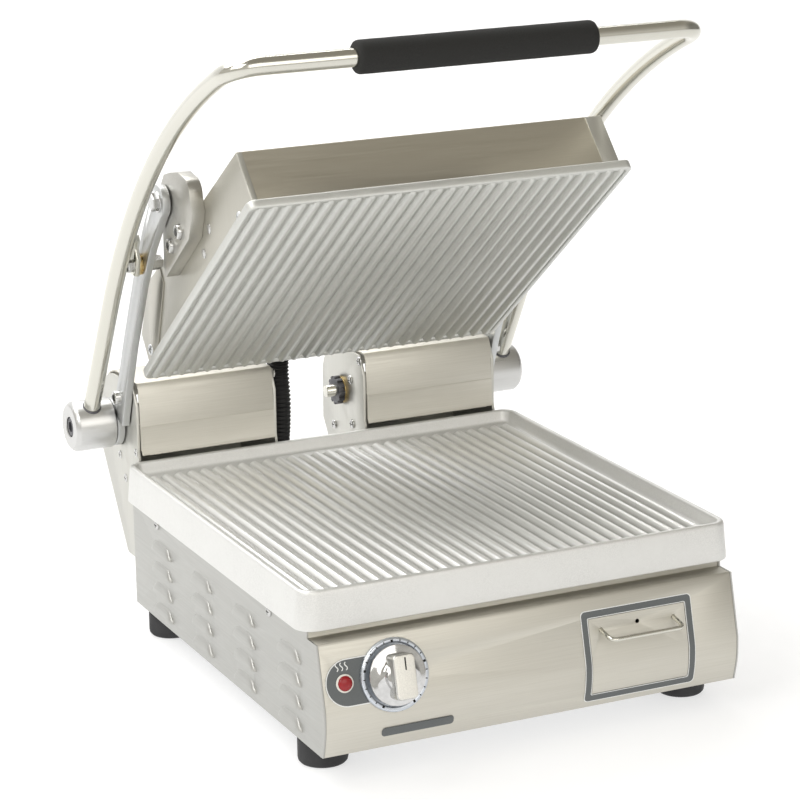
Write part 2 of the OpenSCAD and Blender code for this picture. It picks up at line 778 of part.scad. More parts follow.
module platen_cover() {
    color([0.62, 0.58, 0.50]) raised() difference() {
        along_x(-box_x, box_x) cover_side(0);
        along_x(-box_x + sheet, box_x - sheet) cover_side(sheet);
        bar_y(12.7, box_rear - 5, box_rear + 5, exit_pl);
        both() for (p = side_screw_pl) bar_x(2.6, -box_x - 1, -box_x + 3, p);
        both() for (p = bracket_holes) bar_x(4.1, -box_x - 1, -box_x + 3, p);
    }
}

module upper_plate() {
    color([0.66, 0.67, 0.63]) raised() {
        translate([0, (pl_front + pl_rear)/2, pl_base - 6.5]) linear_extrude(6.45)
            round_rect(platen_w, platen_d, 8);
        difference() {
            translate([0, (pl_front + pl_rear)/2, rib_tip + 2]) linear_extrude(5)
                round_rect(platen_w, platen_d, 8);
            translate([0, (pl_front + pl_rear)/2, rib_tip - 1]) linear_extrude(7)
                round_rect(platen_w - 12, platen_d - 12, 5);
        }
        translate([0, pl_rear - 4, 0]) rotate([90, 0, 0]) linear_extrude(platen_d - 8)
            rib_comb(upper_ribs, platen_w/2 - 6, rib_tip, rib_tip + 5);
    }
}

bracket_holes = [[-11, -36.5], [16, -36.5]];
bracket_outline = concat(
    arc([0, 0], 17, 330, 450, 10),
    [[-12, 20], [-27, 14], [-44, 5]], arc([-42, -16], 16, 150, 215, 5),
    [[-50, -38], [-27, -52], [47.6, -52], [44, -40], [26, -18]]);

module platen_bracket() {
    difference() {
        along_x(-tower_out, -box_x - gap/4) polygon(bracket_outline);
        bar_x(5 + fit, -tower_out - 1, -box_x + 1);
        for (p = bracket_holes) {
            bar_x(4.1, -tower_out - 1, -box_x + 1, p);
            bar_x(7, -tower_out - 1, -tower_out + 5, p);
        }
    }
}

module left_platen_bracket() { color([0.74, 0.73, 0.70]) raised() platen_bracket(); }
module right_platen_bracket() { color([0.74, 0.73, 0.70]) raised() mirror([1, 0, 0]) platen_bracket(); }

module bracket_screws() {
    color([0.6, 0.6, 0.6]) raised() both() for (p = bracket_holes) difference() {
        union() {
            bar_x(6.5, -tower_out - 0.5, -tower_out + 4.98, p);
            bar_x(4, -tower_out + 4, -box_x + 4, p);
        }
        translate([-tower_out - 2, p[0], p[1]]) rotate([0, 90, 0]) cylinder(r = 3.3, h = 5, $fn = 6);
    }
}

module platen_screws() {
    color([0.8, 0.8, 0.78]) raised() both() for (p = side_screw_pl) difference() {
        union() {
            bar_x(4.4, -box_x - 2, -box_x - 0.01, p);
            bar_x(2.5, -box_x - 1, -box_x + 5, p);
        }
        for (a = [0, 90]) translate([-box_x - 2, p[0], p[1]]) rotate([a, 0, 0])
            cube([2.4, 4.4, 0.9], center = true);
    }
}

module upper_element() {
    color([0.35, 0.33, 0.31]) raised() translate([0, (pl_front + pl_rear)/2, pl_base + 4.4])
        heater(5, 60, 240, 4);
}

module upper_insulation() {
    color([0.85, 0.83, 0.76]) raised() translate([-165, box_front + lean + 8, pl_base + 10])
        cube([330, box_rear - box_front - lean - 20, 22]);
}

// ---------- conduit and supply ----------

function to_open(p) = eye + [p[0]*cos(tilt) + p[1]*sin(tilt), -p[0]*sin(tilt) + p[1]*cos(tilt)];

conduit_x = -30;
conduit_r = 10.5;
conduit_sides = 12;
// chosen route of the conduit as [y, z], from the body's fitting to the platen's
conduit_route = [[223, 92], [232, 92.5], [241, 97], [247, 106], [249, 120], [248, 136], [245, 152],
                 [242, 168], [240.5, 184], [240.5, 198], [242, 210], [243.5, 222], [242.1, 234.8],
                 [236.4, 245.7], [228, 253.9], [222.5, 258.2]];

function dir_at(i) = let (n = len(conduit_route), d = conduit_route[min(i+1, n-1)] - conduit_route[max(i-1, 0)])
    d/norm(d);

module conduit() {
    n = len(conduit_route);
    pts = [for (i = [0:n-1]) let (p = conduit_route[i], d = dir_at(i)) for (k = [0:conduit_sides-1])
        let (a = k*360/conduit_sides)
        [conduit_x + conduit_r*cos(a), p[0] - conduit_r*sin(a)*d[1], p[1] + conduit_r*sin(a)*d[0]]];
    side = [for (i = [0:n-2], k = [0:conduit_sides-1]) let (m = (k + 1) % conduit_sides)
        [i*conduit_sides + k, i*conduit_sides + m, (i + 1)*conduit_sides + m, (i + 1)*conduit_sides + k]];
    color([0.10, 0.10, 0.10]) at() polyhedron(pts, concat(side,
        [[for (k = [conduit_sides-1:-1:0]) k]], [[for (k = [0:conduit_sides-1]) (n - 1)*conduit_sides + k]]));
}

module fitting() {
    difference() {
        union() {
            translate([0, 0, -5]) cylinder(r = 12.5, h = 10);
            rotate([0, 0, 30]) cylinder(r = 17, h = 5, $fn = 6);
            translate([0, 0, 4.9]) cylinder(r = 13.5, h = 15);
        }
        translate([0, 0, -6]) cylinder(r = conduit_r + 0.5, h = 40);
    }
}

module upper_conduit_fitting() {
    color([0.15, 0.15, 0.15]) raised() translate([exit_pl[0], box_rear + 0.05, exit_pl[1]])
        rotate([-90, 0, 0]) fitting();
}

module lower_conduit_fitting() {
    color([0.15, 0.15, 0.15]) at() translate([fitting_at[0], rear_y + 0.05, fitting_at[1]])
        rotate([-90, 0, 0]) fitting();
}

module cord_gland() {
    color([0.12, 0.12, 0.12]) at() translate([gland_at[0], rear_y + 0.05, gland_at[1]])
        rotate([-90, 0, 0]) difference() {
            union() {
                translate([0, 0, -6]) cylinder(r = 9, h = 8);
                cylinder(r = 13, h = 6, $fn = 6);
                translate([0, 0, 5.9]) cylinder(r1 = 10, r2 = 7, h = 12);
            }
            translate([0, 0, -7]) cylinder(r = 4.5, h = 40);
        }
}

module terminal_block() {
    color([0.85, 0.83, 0.78]) at() difference() {
        translate([60, 160, body_z + sheet + gap]) cube([70, 24, 22]);
        for (i = [0:3]) {
            translate([69 + 17*i, 172, 40]) cylinder(r = 3.5, h = 20);
            translate([69 + 17*i, 150, 38]) rotate([-90, 0, 0]) cylinder(r = 3, h = 50);
        }
    }
}

front_panel();
left_side_panel();
right_side_panel();
rear_panel();
bottom_pan();
lower_plate();
lower_element();
lower_insulation();
thermostat();
thermostat_shaft();
pilot_light();
control_label();
dial_bezel();
knob();
knob_insert();
drawer_label();
badge_plate();
drawer_tray();
drawer_front();
drawer_pull();
drawer_runners();
feet();
foot_screws();
side_screws();
left_hinge_tower();
right_hinge_tower();
left_spring_cover();
right_spring_cover();
left_torsion_spring();
right_torsion_spring();
left_shaft();
right_shaft();
bearing_bushes();
shaft_lock_nuts();
left_barrel();
right_barrel();
barrel_screws();
left_arm();
right_arm();
arm_screws();
handle_tube();
handle_grip();
handle_tabs();
stop_pins();
lock_washers();
pivot_bolts();
platen_cover();
upper_plate();
left_platen_bracket();
right_platen_bracket();
bracket_screws();
platen_screws();
upper_element();
upper_insulation();
conduit();
upper_conduit_fitting();
lower_conduit_fitting();
cord_gland();
terminal_block();
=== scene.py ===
# Looks of a ribbed contact grill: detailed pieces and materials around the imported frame.
# Metres, +Z up, front to -Y.
import json
import math

import bmesh
import bpy
from mathutils import Matrix, Vector


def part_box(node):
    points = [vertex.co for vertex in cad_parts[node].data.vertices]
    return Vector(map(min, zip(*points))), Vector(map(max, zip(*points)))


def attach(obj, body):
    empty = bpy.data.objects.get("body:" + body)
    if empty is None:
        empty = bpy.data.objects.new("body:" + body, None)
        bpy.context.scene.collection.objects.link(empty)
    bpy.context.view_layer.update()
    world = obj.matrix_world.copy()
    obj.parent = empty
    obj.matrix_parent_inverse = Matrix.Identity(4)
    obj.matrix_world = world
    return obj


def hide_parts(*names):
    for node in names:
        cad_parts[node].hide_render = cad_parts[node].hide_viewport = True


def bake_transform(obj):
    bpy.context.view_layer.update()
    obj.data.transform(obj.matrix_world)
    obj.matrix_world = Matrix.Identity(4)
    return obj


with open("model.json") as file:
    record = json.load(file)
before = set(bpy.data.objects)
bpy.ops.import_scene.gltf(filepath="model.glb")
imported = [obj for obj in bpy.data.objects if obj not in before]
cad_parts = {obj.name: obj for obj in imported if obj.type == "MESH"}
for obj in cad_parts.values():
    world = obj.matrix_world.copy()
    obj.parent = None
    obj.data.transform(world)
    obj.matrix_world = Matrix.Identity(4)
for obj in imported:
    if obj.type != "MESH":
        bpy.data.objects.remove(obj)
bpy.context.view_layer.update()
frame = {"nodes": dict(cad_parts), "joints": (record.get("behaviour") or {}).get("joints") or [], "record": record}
NODES = frame["nodes"]
JOINTS = {joint["name"]: joint for joint in frame["joints"]}
BODY_OF = {node: body for body, nodes in frame["record"]["behaviour"]["bodies"].items() for node in nodes}
MM = 0.001

# ---------- places, read from the frame ----------

HINGE = Vector(JOINTS["arms_hinge"]["pos_m"])
EYE = Vector(JOINTS["platen_hinge"]["pos_m"])
TILT = math.radians(38)
CENTRE_Y = sum(corner.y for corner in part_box("lower_plate")) / 2
RAISED = Matrix.Translation(EYE) @ Matrix.Rotation(-TILT, 4, "X")


def spot(x, y, z):
    """A point in metres from millimetres measured from the middle of the lower plate."""
    return Vector((x * MM, y * MM + CENTRE_Y, z * MM))


def outline(points):
    """Side-view points [y, z] in millimetres as frame metres."""
    return [(y * MM + CENTRE_Y, z * MM) for y, z in points]


# ---------- shapes: each is a pair of lists, corners and faces ----------

def join(*shapes):
    """Several shapes as one."""
    corners, faces = [], []
    for more, ends in shapes:
        start = len(corners)
        corners += [Vector(c) for c in more]
        faces += [[start + i for i in face] for face in ends]
    return corners, faces


def moved(shape, matrix):
    """The shape carried by a matrix."""
    corners, faces = shape
    flip = matrix.determinant() < 0
    return [matrix @ Vector(c) for c in corners], [face[::-1] if flip else list(face) for face in faces]


MIRROR = Matrix.Scale(-1, 4, (1, 0, 0))


def both(shape):
    """The shape and its mirror image across the middle."""
    return join(shape, moved(shape, MIRROR))


def toward(axis, point=(0, 0, 0)):
    """Carries +Z to an axis and the origin to a point."""
    turn = Vector((0, 0, 1)).rotation_difference(Vector(axis)).to_matrix().to_4x4()
    return Matrix.Translation(Vector(point)) @ turn


def loft(rings, capped=True, closed=False):
    """Skin over rings that have the same number of points."""
    count = len(rings[0])
    corners = [Vector(p) for ring in rings for p in ring]
    faces = []
    for i in range(len(rings) if closed else len(rings) - 1):
        a, b = i * count, (i + 1) % len(rings) * count
        faces += [[a + k, a + (k + 1) % count, b + (k + 1) % count, b + k] for k in range(count)]
    if capped and not closed:
        faces += [list(range(count))[::-1], [(len(rings) - 1) * count + k for k in range(count)]]
    return corners, faces


def lathe(profile, sides=48):
    """Solid of revolution about Z from (radius, height) points in millimetres."""
    rings = []
    for radius, height in profile:
        rings.append([(max(radius, 0.001) * MM * math.cos(a), max(radius, 0.001) * MM * math.sin(a), height * MM)
                      for a in (2 * math.pi * k / sides for k in range(sides))])
    return loft(rings)


def tube(path, radius, sides=24, radii=None, closed_ends=True):
    """Round tube along a path; radii can give each point its own radius."""
    path = [Vector(p) for p in path]
    ways = [(path[min(i + 1, len(path) - 1)] - path[max(i - 1, 0)]).normalized() for i in range(len(path))]
    side = ways[0].orthogonal().normalized()
    rings = []
    for i, (p, way) in enumerate(zip(path, ways)):
        side = (side - way * side.dot(way)).normalized()
        other = way.cross(side)
        r = radii[i] if radii else radius
        rings.append([p + r * (math.cos(a) * side + math.sin(a) * other)
                      for a in (2 * math.pi * k / sides for k in range(sides))])
    return loft(rings, capped=closed_ends)


def prism(points, x0, x1):
    """A side-view outline [y, z] in metres between two x values in millimetres."""
    return loft([[(x0 * MM, y, z) for y, z in points], [(x1 * MM, y, z) for y, z in points]])


def block(low, high):
    """Box between two corners."""
    (x0, y0, z0), (x1, y1, z1) = low, high
    return loft([[(x0, y0, z), (x1, y0, z), (x1, y1, z), (x0, y1, z)] for z in (z0, z1)])


def arc(centre, radius, start, end, steps=8):
    """Points [y, z] on an arc, angles in degrees."""
    return [(centre[0] + radius * math.cos(a), centre[1] + radius * math.sin(a))
            for a in (math.radians(start + (end - start) * i / steps) for i in range(steps + 1))]


def round_rect(width, depth, radius, steps=6):
    """Points of a rectangle with round corners, centred."""
    points = []
    for quarter, (sx, sy) in enumerate([(1, 1), (-1, 1), (-1, -1), (1, -1)]):
        centre = (sx * (width / 2 - radius), sy * (depth / 2 - radius))
        points += arc(centre, radius, 90 * quarter, 90 * quarter + 90, steps)
    return points


def hexagon(across, height):
    """Hexagonal prism with a chamfered top, in millimetres."""
    radius = across / math.sqrt(3)
    rings = []
    for r, z in [(radius, 0), (radius, height * 0.82), (radius * 0.9, height)]:
        rings.append([(r * MM * math.cos(a), r * MM * math.sin(a), z * MM)
                      for a in (math.pi * k / 3 for k in range(6))])
    return loft(rings)


# ---------- turning shapes into pieces ----------

def mesh_of(shape, name):
    mesh = bpy.data.meshes.new(name)
    mesh.from_pydata([tuple(c) for c in shape[0]], [], shape[1])
    work = bmesh.new()
    work.from_mesh(mesh)
    bmesh.ops.remove_doubles(work, verts=work.verts, dist=1e-6)
    bmesh.ops.recalc_face_normals(work, faces=work.faces)
    work.to_mesh(mesh)
    work.free()
    return mesh


def evaluated(mesh, modifiers):
    """The mesh after a list of (kind, settings) modifiers."""
    holder = bpy.data.objects.new("holder", mesh)
    bpy.context.scene.collection.objects.link(holder)
    for kind, settings in modifiers:
        modifier = holder.modifiers.new(kind, kind)
        for key, value in settings.items():
            setattr(modifier, key, value)
    bpy.context.view_layer.update()
    done = bpy.data.meshes.new_from_object(holder.evaluated_get(bpy.context.evaluated_depsgraph_get()))
    bpy.data.objects.remove(holder)
    return done


def carved(shape, cutter):
    """A shape with another cut out of it."""
    tool = bpy.data.objects.new("tool", mesh_of(cutter, "tool"))
    bpy.context.scene.collection.objects.link(tool)
    cut = {"object": tool, "operation": "DIFFERENCE", "solver": "EXACT"}
    mesh = evaluated(mesh_of(shape, "stock"), [("BOOLEAN", cut)])
    bpy.data.objects.remove(tool)
    return [v.co.copy() for v in mesh.vertices], [list(p.vertices) for p in mesh.polygons]


def piece(name, shape, paint, node, bevel=0.0, segments=3, sharp=35, hides=None, rides=True):
    """Makes a shape into a piece that stands for a CAD node: it rides on the node's body and hides the node, unless
    told otherwise. Bevel in millimetres.
    """
    mesh = shape if isinstance(shape, bpy.types.Mesh) else mesh_of(shape, name)
    if bevel:
        edges = {"width": bevel * MM, "segments": segments, "limit_method": "ANGLE",
                 "angle_limit": math.radians(sharp), "miter_outer": "MITER_ARC"}
        mesh = evaluated(mesh, [("BEVEL", edges)])
    mesh.name = name
    mesh.shade_smooth()
    mesh.set_sharp_from_angle(angle=math.radians(sharp))
    mesh.materials.clear()
    mesh.materials.append(paint)
    made = bpy.data.objects.new(name, mesh)
    bpy.context.scene.collection.objects.link(made)
    if rides:
        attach(made, BODY_OF[node])
    hidden = [node] if hides is None else hides
    if hidden:
        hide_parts(*hidden)
    return made


def refined(node, paint, bevel=0.5, sharp=32):
    """A CAD node's own shape with its facets merged and its edges rounded, as a piece that stands for it."""
    work = bmesh.new()
    work.from_mesh(NODES[node].data)
    bmesh.ops.remove_doubles(work, verts=work.verts, dist=2e-6)
    bmesh.ops.dissolve_limit(work, angle_limit=math.radians(0.6), verts=work.verts, edges=work.edges)
    mesh = bpy.data.meshes.new(node)
    work.to_mesh(mesh)
    work.free()
    return piece(node + "_detail", mesh, paint, node, bevel=bevel, segments=2, sharp=sharp)


# ---------- materials ----------

SOCKETS = {"coat_weight": "Coat Weight", "specular_ior_level": "Specular IOR Level",
           "emission_strength": "Emission Strength"}


class Paint:
    """A material being wired: a principled shader and short calls for the textures that feed it."""

    def __init__(self, name, colour, rough, metal=0.0, **sockets):
        self.material = bpy.data.materials.new(name)
        self.material.use_nodes = True
        self.tree = self.material.node_tree
        self.shader = self.tree.nodes["Principled BSDF"]
        self.colour = colour
        self.rough = rough
        self.height = None
        self.shader.inputs["Base Color"].default_value = (*colour, 1)
        self.shader.inputs["Roughness"].default_value = rough
        self.shader.inputs["Metallic"].default_value = metal
        for key, value in sockets.items():
            self.shader.inputs[SOCKETS[key]].default_value = value
        self.place = self.add("ShaderNodeTexCoord").outputs["Object"]

    def add(self, kind, links=(), values=(), **settings):
        """A node with its settings, input links and input values."""
        made = self.tree.nodes.new(kind)
        for key, value in settings.items():
            setattr(made, key, value)
        for key, value in values:
            made.inputs[key].default_value = value
        for key, source in links:
            self.tree.links.new(source, made.inputs[key])
        return made

    def noise(self, scale, stretch=(1, 1, 1), detail=4.0):
        """Noise from 0 to 1; stretch is how much finer it is along each axis."""
        size = self.add("ShaderNodeMapping", [("Vector", self.place)], [("Scale", stretch)])
        return self.add("ShaderNodeTexNoise", [("Vector", size.outputs["Vector"])],
                        [("Scale", scale), ("Detail", detail)]).outputs["Fac"]

    def spread(self, value, low, high, start=0.3, end=0.7):
        """A value from start to end spread over low to high."""
        return self.add("ShaderNodeMapRange", [("Value", value)],
                        [("From Min", start), ("From Max", end), ("To Min", low), ("To Max", high)]).outputs["Result"]

    def roughness(self, value, low, high):
        self.tree.links.new(self.spread(value, low, high), self.shader.inputs["Roughness"])
        return self

    def tint(self, value, other, start=0.35, end=0.65):
        """Blends the colour so far towards another colour by a value."""
        socket = self.shader.inputs["Base Color"]
        mix = self.add("ShaderNodeMix", [("Factor", self.spread(value, 0, 1, start, end))], data_type="RGBA")
        if socket.links:
            self.tree.links.new(socket.links[0].from_socket, mix.inputs[6])
        else:
            mix.inputs[6].default_value = (*self.colour, 1)
        mix.inputs[7].default_value = (*other, 1)
        self.tree.links.new(mix.outputs[2], socket)
        return self

    def bump(self, value, strength, depth):
        """Adds relief; depth in millimetres."""
        links = [("Height", value)]
        if self.height:
            links.append(("Normal", self.height))
        node = self.add("ShaderNodeBump", links, [("Strength", strength), ("Distance", depth * MM)])
        self.height = node.outputs["Normal"]
        self.tree.links.new(self.height, self.shader.inputs["Normal"])
        return self

    def worn(self, other, start=0.53, end=0.6):
        """Lightens or darkens convex edges, where hands and cloths rub."""
        edge = self.add("ShaderNodeNewGeometry").outputs["Pointiness"]
        return self.tint(edge, other, start, end)

    def pores(self, scale, strength, depth):
        cells = self.add("ShaderNodeTexVoronoi", [("Vector", self.place)], [("Scale", scale)])
        return self.bump(cells.outputs["Distance"], strength, depth)

    def shade_by_height(self, z0, z1, other):
        """Colour that changes with height in the row frame, in millimetres."""
        z = self.add("ShaderNodeSeparateXYZ", [("Vector", self.place)]).outputs["Z"]
        return self.tint(z, other, z0 * MM, z1 * MM)


def brushed(name, colour, rough, along, metal=1.0):
    """Brushed sheet; along is the axis of its grain."""
    fine = tuple(0.012 if axis == along else 1.0 for axis in "xyz")
    paint = Paint(name, colour, rough, metal)
    grain = paint.noise(2600, fine, 3.0)
    smudge = paint.noise(9, detail=5.0)
    paint.tint(grain, tuple(c * 0.955 for c in colour))
    paint.tint(smudge, tuple(c * 0.97 for c in colour), 0.45, 0.75)
    paint.roughness(paint.noise(1200, fine), rough * 0.85, rough * 1.2)
    paint.bump(grain, 0.12, 0.012)
    return paint.material


def cast(name, colour, rough, grain=900, metal=1.0, depth=0.05):
    """Cast aluminium: sand-grained skin with soft blotches and rubbed edges."""
    paint = Paint(name, colour, rough, metal)
    sand = paint.noise(grain, detail=6.0)
    blotch = paint.noise(24, detail=5.0)
    paint.tint(sand, tuple(c * 0.90 for c in colour))
    paint.tint(blotch, tuple(c * 0.97 for c in colour))
    paint.worn(tuple(min(1.0, c * 1.10) for c in colour))
    paint.roughness(paint.noise(240, detail=5.0), rough * 0.9, rough * 1.15)
    paint.bump(sand, 0.35, depth)
    return paint


def plain(name, colour, rough, metal=0.0, grain=700, **sockets):
    """Moulded or plated surface with a faint texture of its own."""
    paint = Paint(name, colour, rough, metal, **sockets)
    texture = paint.noise(grain, detail=5.0)
    paint.tint(texture, tuple(c * 0.88 for c in colour))
    paint.roughness(paint.noise(60, detail=5.0), rough * 0.8, rough * 1.3)
    paint.bump(texture, 0.15, 0.03)
    return paint.material


STEEL = (0.65, 0.63, 0.57)
CAST = (0.78, 0.78, 0.765)
STEEL_X = brushed("steel_grain_x", STEEL, 0.50, "x")
STEEL_Y = brushed("steel_grain_y", (0.50, 0.50, 0.48), 0.42, "y")
STEEL_COVER = brushed("steel_cover", (0.62, 0.585, 0.50), 0.36, "x")
STEEL_TOWER = brushed("steel_tower", (0.61, 0.605, 0.565), 0.40, "z")
STEEL_END = brushed("steel_cover_end", (0.535, 0.52, 0.465), 0.34, "z")
ZINC_BRIGHT = plain("bright_zinc", (0.86, 0.88, 0.90), 0.30, 1.0, 400)
ZINC = plain("zinc_sheet", (0.60, 0.61, 0.61), 0.42, 1.0, 300)
TUBE = brushed("polished_tube", (0.68, 0.67, 0.61), 0.15, "z")
TURNED = brushed("turned_aluminium", (0.62, 0.62, 0.61), 0.32, "x")
CHROME = plain("chrome", (0.66, 0.66, 0.66), 0.07, 1.0, 200)
PLATED = plain("plated_screws", (0.62, 0.62, 0.61), 0.20, 1.0, 400)
DARK_STEEL = plain("dark_steel", (0.14, 0.14, 0.15), 0.42, 0.8, 500)
BRONZE = plain("bronze", (0.66, 0.50, 0.24), 0.30, 1.0, 500)
ARM = cast("cast_arm", (0.60, 0.61, 0.61), 0.40, 1100).material
# the brackets' cast aluminium is set darker than the arms': painted shade for their shadowed undersides
SHADED_BRACKET = cast("cast_bracket_shaded", (0.50, 0.49, 0.455), 0.36, 1100).material
RED = plain("red_lens", (0.30, 0.004, 0.008), 0.26, 0.0, 500, coat_weight=0.15)
IVORY = plain("ivory_plastic", (0.80, 0.78, 0.72), 0.38, 0.0, 900)
LABEL = plain("label_grey", (0.115, 0.125, 0.128), 0.45, 0.0, 1500)
INK = plain("label_ink", (0.82, 0.83, 0.82), 0.50, 0.0, 1500)
RUBBER = plain("black_rubber", (0.025, 0.025, 0.027), 0.62, 0.0, 800)
PLASTIC = plain("black_plastic", (0.013, 0.013, 0.014), 0.50, 0.0, 900, specular_ior_level=0.35)
SHEATH = plain("heater_sheath", (0.16, 0.15, 0.14), 0.55, 0.6, 700)
BOARD = plain("mineral_board", (0.70, 0.68, 0.60), 0.90, 0.0, 400)
# near-black: painted shade behind the louvres and in the drain hole, and the real dark dial ticks and knob pointer
PAINTED_SHADE_AND_MARKS = plain("painted_shade_and_marks_black", (0.012, 0.012, 0.012), 0.90, 0.0, 400)

foam = Paint("foam_grip", (0.012, 0.012, 0.0115), 0.78, 0.0, specular_ior_level=0.3)
foam.tint(foam.noise(1400, detail=6.0), (0.024, 0.024, 0.023))
foam.tint(foam.noise(30, detail=4.0), (0.018, 0.018, 0.017))
foam.pores(1700, 0.5, 0.25).bump(foam.noise(500, detail=6.0), 0.4, 0.15)
FOAM = foam.material

LOWER = cast("lower_casting", CAST, 0.50, 1000, 0.8).material
griddle = cast("griddle_ribs", (0.92, 0.92, 0.905), 0.40, 1300, 0.9, depth=0.03)
# the rib valleys are painted darker than the rib tips: painted shade in the valleys
griddle.shade_by_height(152.6, 150.0, (0.56, 0.56, 0.54))
GRIDDLE = griddle.material
UPPER = cast("upper_casting", (0.66, 0.665, 0.64), 0.50, 1300, 0.9, depth=0.03).material

# ---------- body sheets ----------

PANEL_TOP = (-219.0, 118.5)
PANEL_LOW = (-231.9, 65.6)
SLOPE = math.atan2(PANEL_TOP[0] - PANEL_LOW[0], PANEL_TOP[1] - PANEL_LOW[1])
PANEL_OUT = Vector((0, -math.cos(SLOPE), math.sin(SLOPE)))
BODY_X = 197.0


def on_panel(x, z, out=0.0):
    """Frame at a place on the sloping front panel: local z points out of it, local y up it. Millimetres."""
    point = spot(x, PANEL_TOP[0] + (z - PANEL_TOP[1]) * math.tan(SLOPE), z) + PANEL_OUT * out * MM
    return Matrix.Translation(point) @ Matrix.Rotation(math.pi / 2 - SLOPE, 4, "X")


for name, paint, bevel in [("front_panel", STEEL_X, 0.5), ("rear_panel", STEEL_X, 0.3),
                           ("bottom_pan", ZINC, 0.3)]:
    refined(name, paint, bevel)

SIDE_OUTLINE = ([(204.5, 25), (204.5, 127.5), (199, 127.5), (199, 137), (-196, 137), (-196, 127.5), (-200, 127.5)]
                + [(-200, 120.5), (-219, 120.5), PANEL_TOP, PANEL_LOW]
                + [(-232.3, 57.6), (-232.1, 49.6), (-231.3, 42.6), (-227, 25)])
LOUVRE_LONG, LOUVRE_TALL, LOUVRE_OUT = 24.0, 11.0, 3.7


def louvre():
    """One pressed hood, open along its lower edge, rising from x = 0 towards -x; millimetres."""
    across, up, rings = 22, 9, []
    for i in range(up + 1):
        v = i / up
        ring = []
        for k in range(across + 1):
            u = 2 * k / across - 1
            end = max(0.0, 1 - abs(u) ** 5)
            rise = LOUVRE_OUT * math.cos(v * math.pi / 2) ** 0.7 * end ** 0.6
            half = LOUVRE_LONG * (1 - 0.10 * v * v)
            ring.append(Vector((-rise, u * half, v * LOUVRE_TALL * (0.35 + 0.65 * end))) * MM)
        rings.append(ring)
    outer = [p for ring in rings for p in ring]
    inner = [p + Vector((0.9 * MM, 0, -0.2 * MM)) for p in outer]
    count, total = across + 1, len(outer)
    faces = []
    for i in range(up):
        for k in range(across):
            a, b = i * count + k, (i + 1) * count + k
            faces.append([a, a + 1, b + 1, b])
            faces.append([total + a, total + b, total + b + 1, total + a + 1])
    rim = ([k for k in range(count)] + [i * count + across for i in range(1, up + 1)]
           + [up * count + k for k in range(across - 1, -1, -1)] + [i * count for i in range(up - 1, 0, -1)])
    for a, b in zip(rim, rim[1:] + rim[:1]):
        faces.append([a, total + a, total + b, b])
    return outer + inner, faces


LOUVRES = [spot(-BODY_X, 132 - 98 * column, 33 + 20 * row) for column in range(4) for row in range(4)]
SCREWS_SIDE = [(141, 119.5), (-122, 119.5)]

sheet = prism(outline(SIDE_OUTLINE), -BODY_X, -BODY_X + 1.5)
slots = join(*[block(p + Vector((-0.002, -0.019, 0.0012)), p + Vector((0.004, 0.019, 0.0055)))
               for p in LOUVRES])
side_sheet = carved(sheet, slots)
hoods = join(*[moved(louvre(), Matrix.Translation(p)) for p in LOUVRES])
for side, turn in (("left", Matrix.Identity(4)), ("right", MIRROR)):
    piece(side + "_side_sheet", moved(side_sheet, turn), STEEL_Y, side + "_side_panel", bevel=0.4)
    piece(side + "_louvres", moved(hoods, turn), STEEL_Y, side + "_side_panel", sharp=50, hides=[])
    # dark blocks just behind the louvre openings: painted shade inside the slots
    louvre_shade_blocks = join(*[block(p + Vector((0.0016, -0.022, -0.001)), p + Vector((0.0019, 0.022, 0.010)))
                   for p in LOUVRES])
    piece(side + "_louvre_shadow", moved(louvre_shade_blocks, turn), PAINTED_SHADE_AND_MARKS, side + "_side_panel", hides=[])

# ---------- fasteners ----------


def pan_head(radius, height, recess=True):
    """Domed screw head in millimetres, with a cross recess."""
    dome = [(radius * math.cos(a), height * (0.35 + 0.65 * math.sin(a)))
            for a in (math.radians(12 * i) for i in range(8))]
    head = lathe([(0, 0), (radius, 0)] + dome + [(0, height)], 32)
    if not recess:
        return head
    arm, half = radius * 0.62 * MM, radius * 0.13 * MM
    deep, top = height * 0.35 * MM, (height + 1) * MM
    cross = join(block((-arm, -half, deep), (arm, half, top)))
    head = carved(head, cross)
    return carved(head, block((-half, -arm, deep * 1.02), (half, arm, top)))


def socket_head(radius, height):
    """Cap screw head with a hexagon socket, in millimetres."""
    edge = radius * 0.12
    head = lathe([(0, 0), (radius, 0), (radius, height - edge), (radius - edge * 0.4, height - edge * 0.3),
                  (radius - edge, height), (0, height)], 40)
    hole = moved(hexagon(radius * 1.05, height), Matrix.Translation((0, 0, height * 0.45 * MM)))
    return carved(head, hole)


HEAD = pan_head(4.6, 2.4)
LEFT = Vector((-1, 0, 0))


def heads_on_side(places, x, head):
    """Screw heads on both sides of the object, at [y, z] places in millimetres."""
    return both(join(*[moved(head, toward(LEFT, spot(-x, y, z))) for y, z in places]))


piece("side_screw_heads", heads_on_side(SCREWS_SIDE, BODY_X, HEAD), PLATED, "side_screws", sharp=30)
TOWER_SCREWS = [(261, 154), (248, 134), (217, 167), (213, 78)]
CHEEK_SCREWS = [(220, 226), (242, 202), (282, 147), (239, 158)]
tower_heads = heads_on_side(TOWER_SCREWS, 187.5, pan_head(4.0, 1.0))
piece("tower_screw_heads", tower_heads, PLATED, "left_hinge_tower", hides=[], sharp=30)
inner_heads = both(join(*[moved(HEAD, toward((1, 0, 0), spot(-46, y, z))) for y, z in CHEEK_SCREWS]))
piece("cheek_screw_heads", inner_heads, PLATED, "left_hinge_tower", hides=[], sharp=30)

# ---------- feet ----------

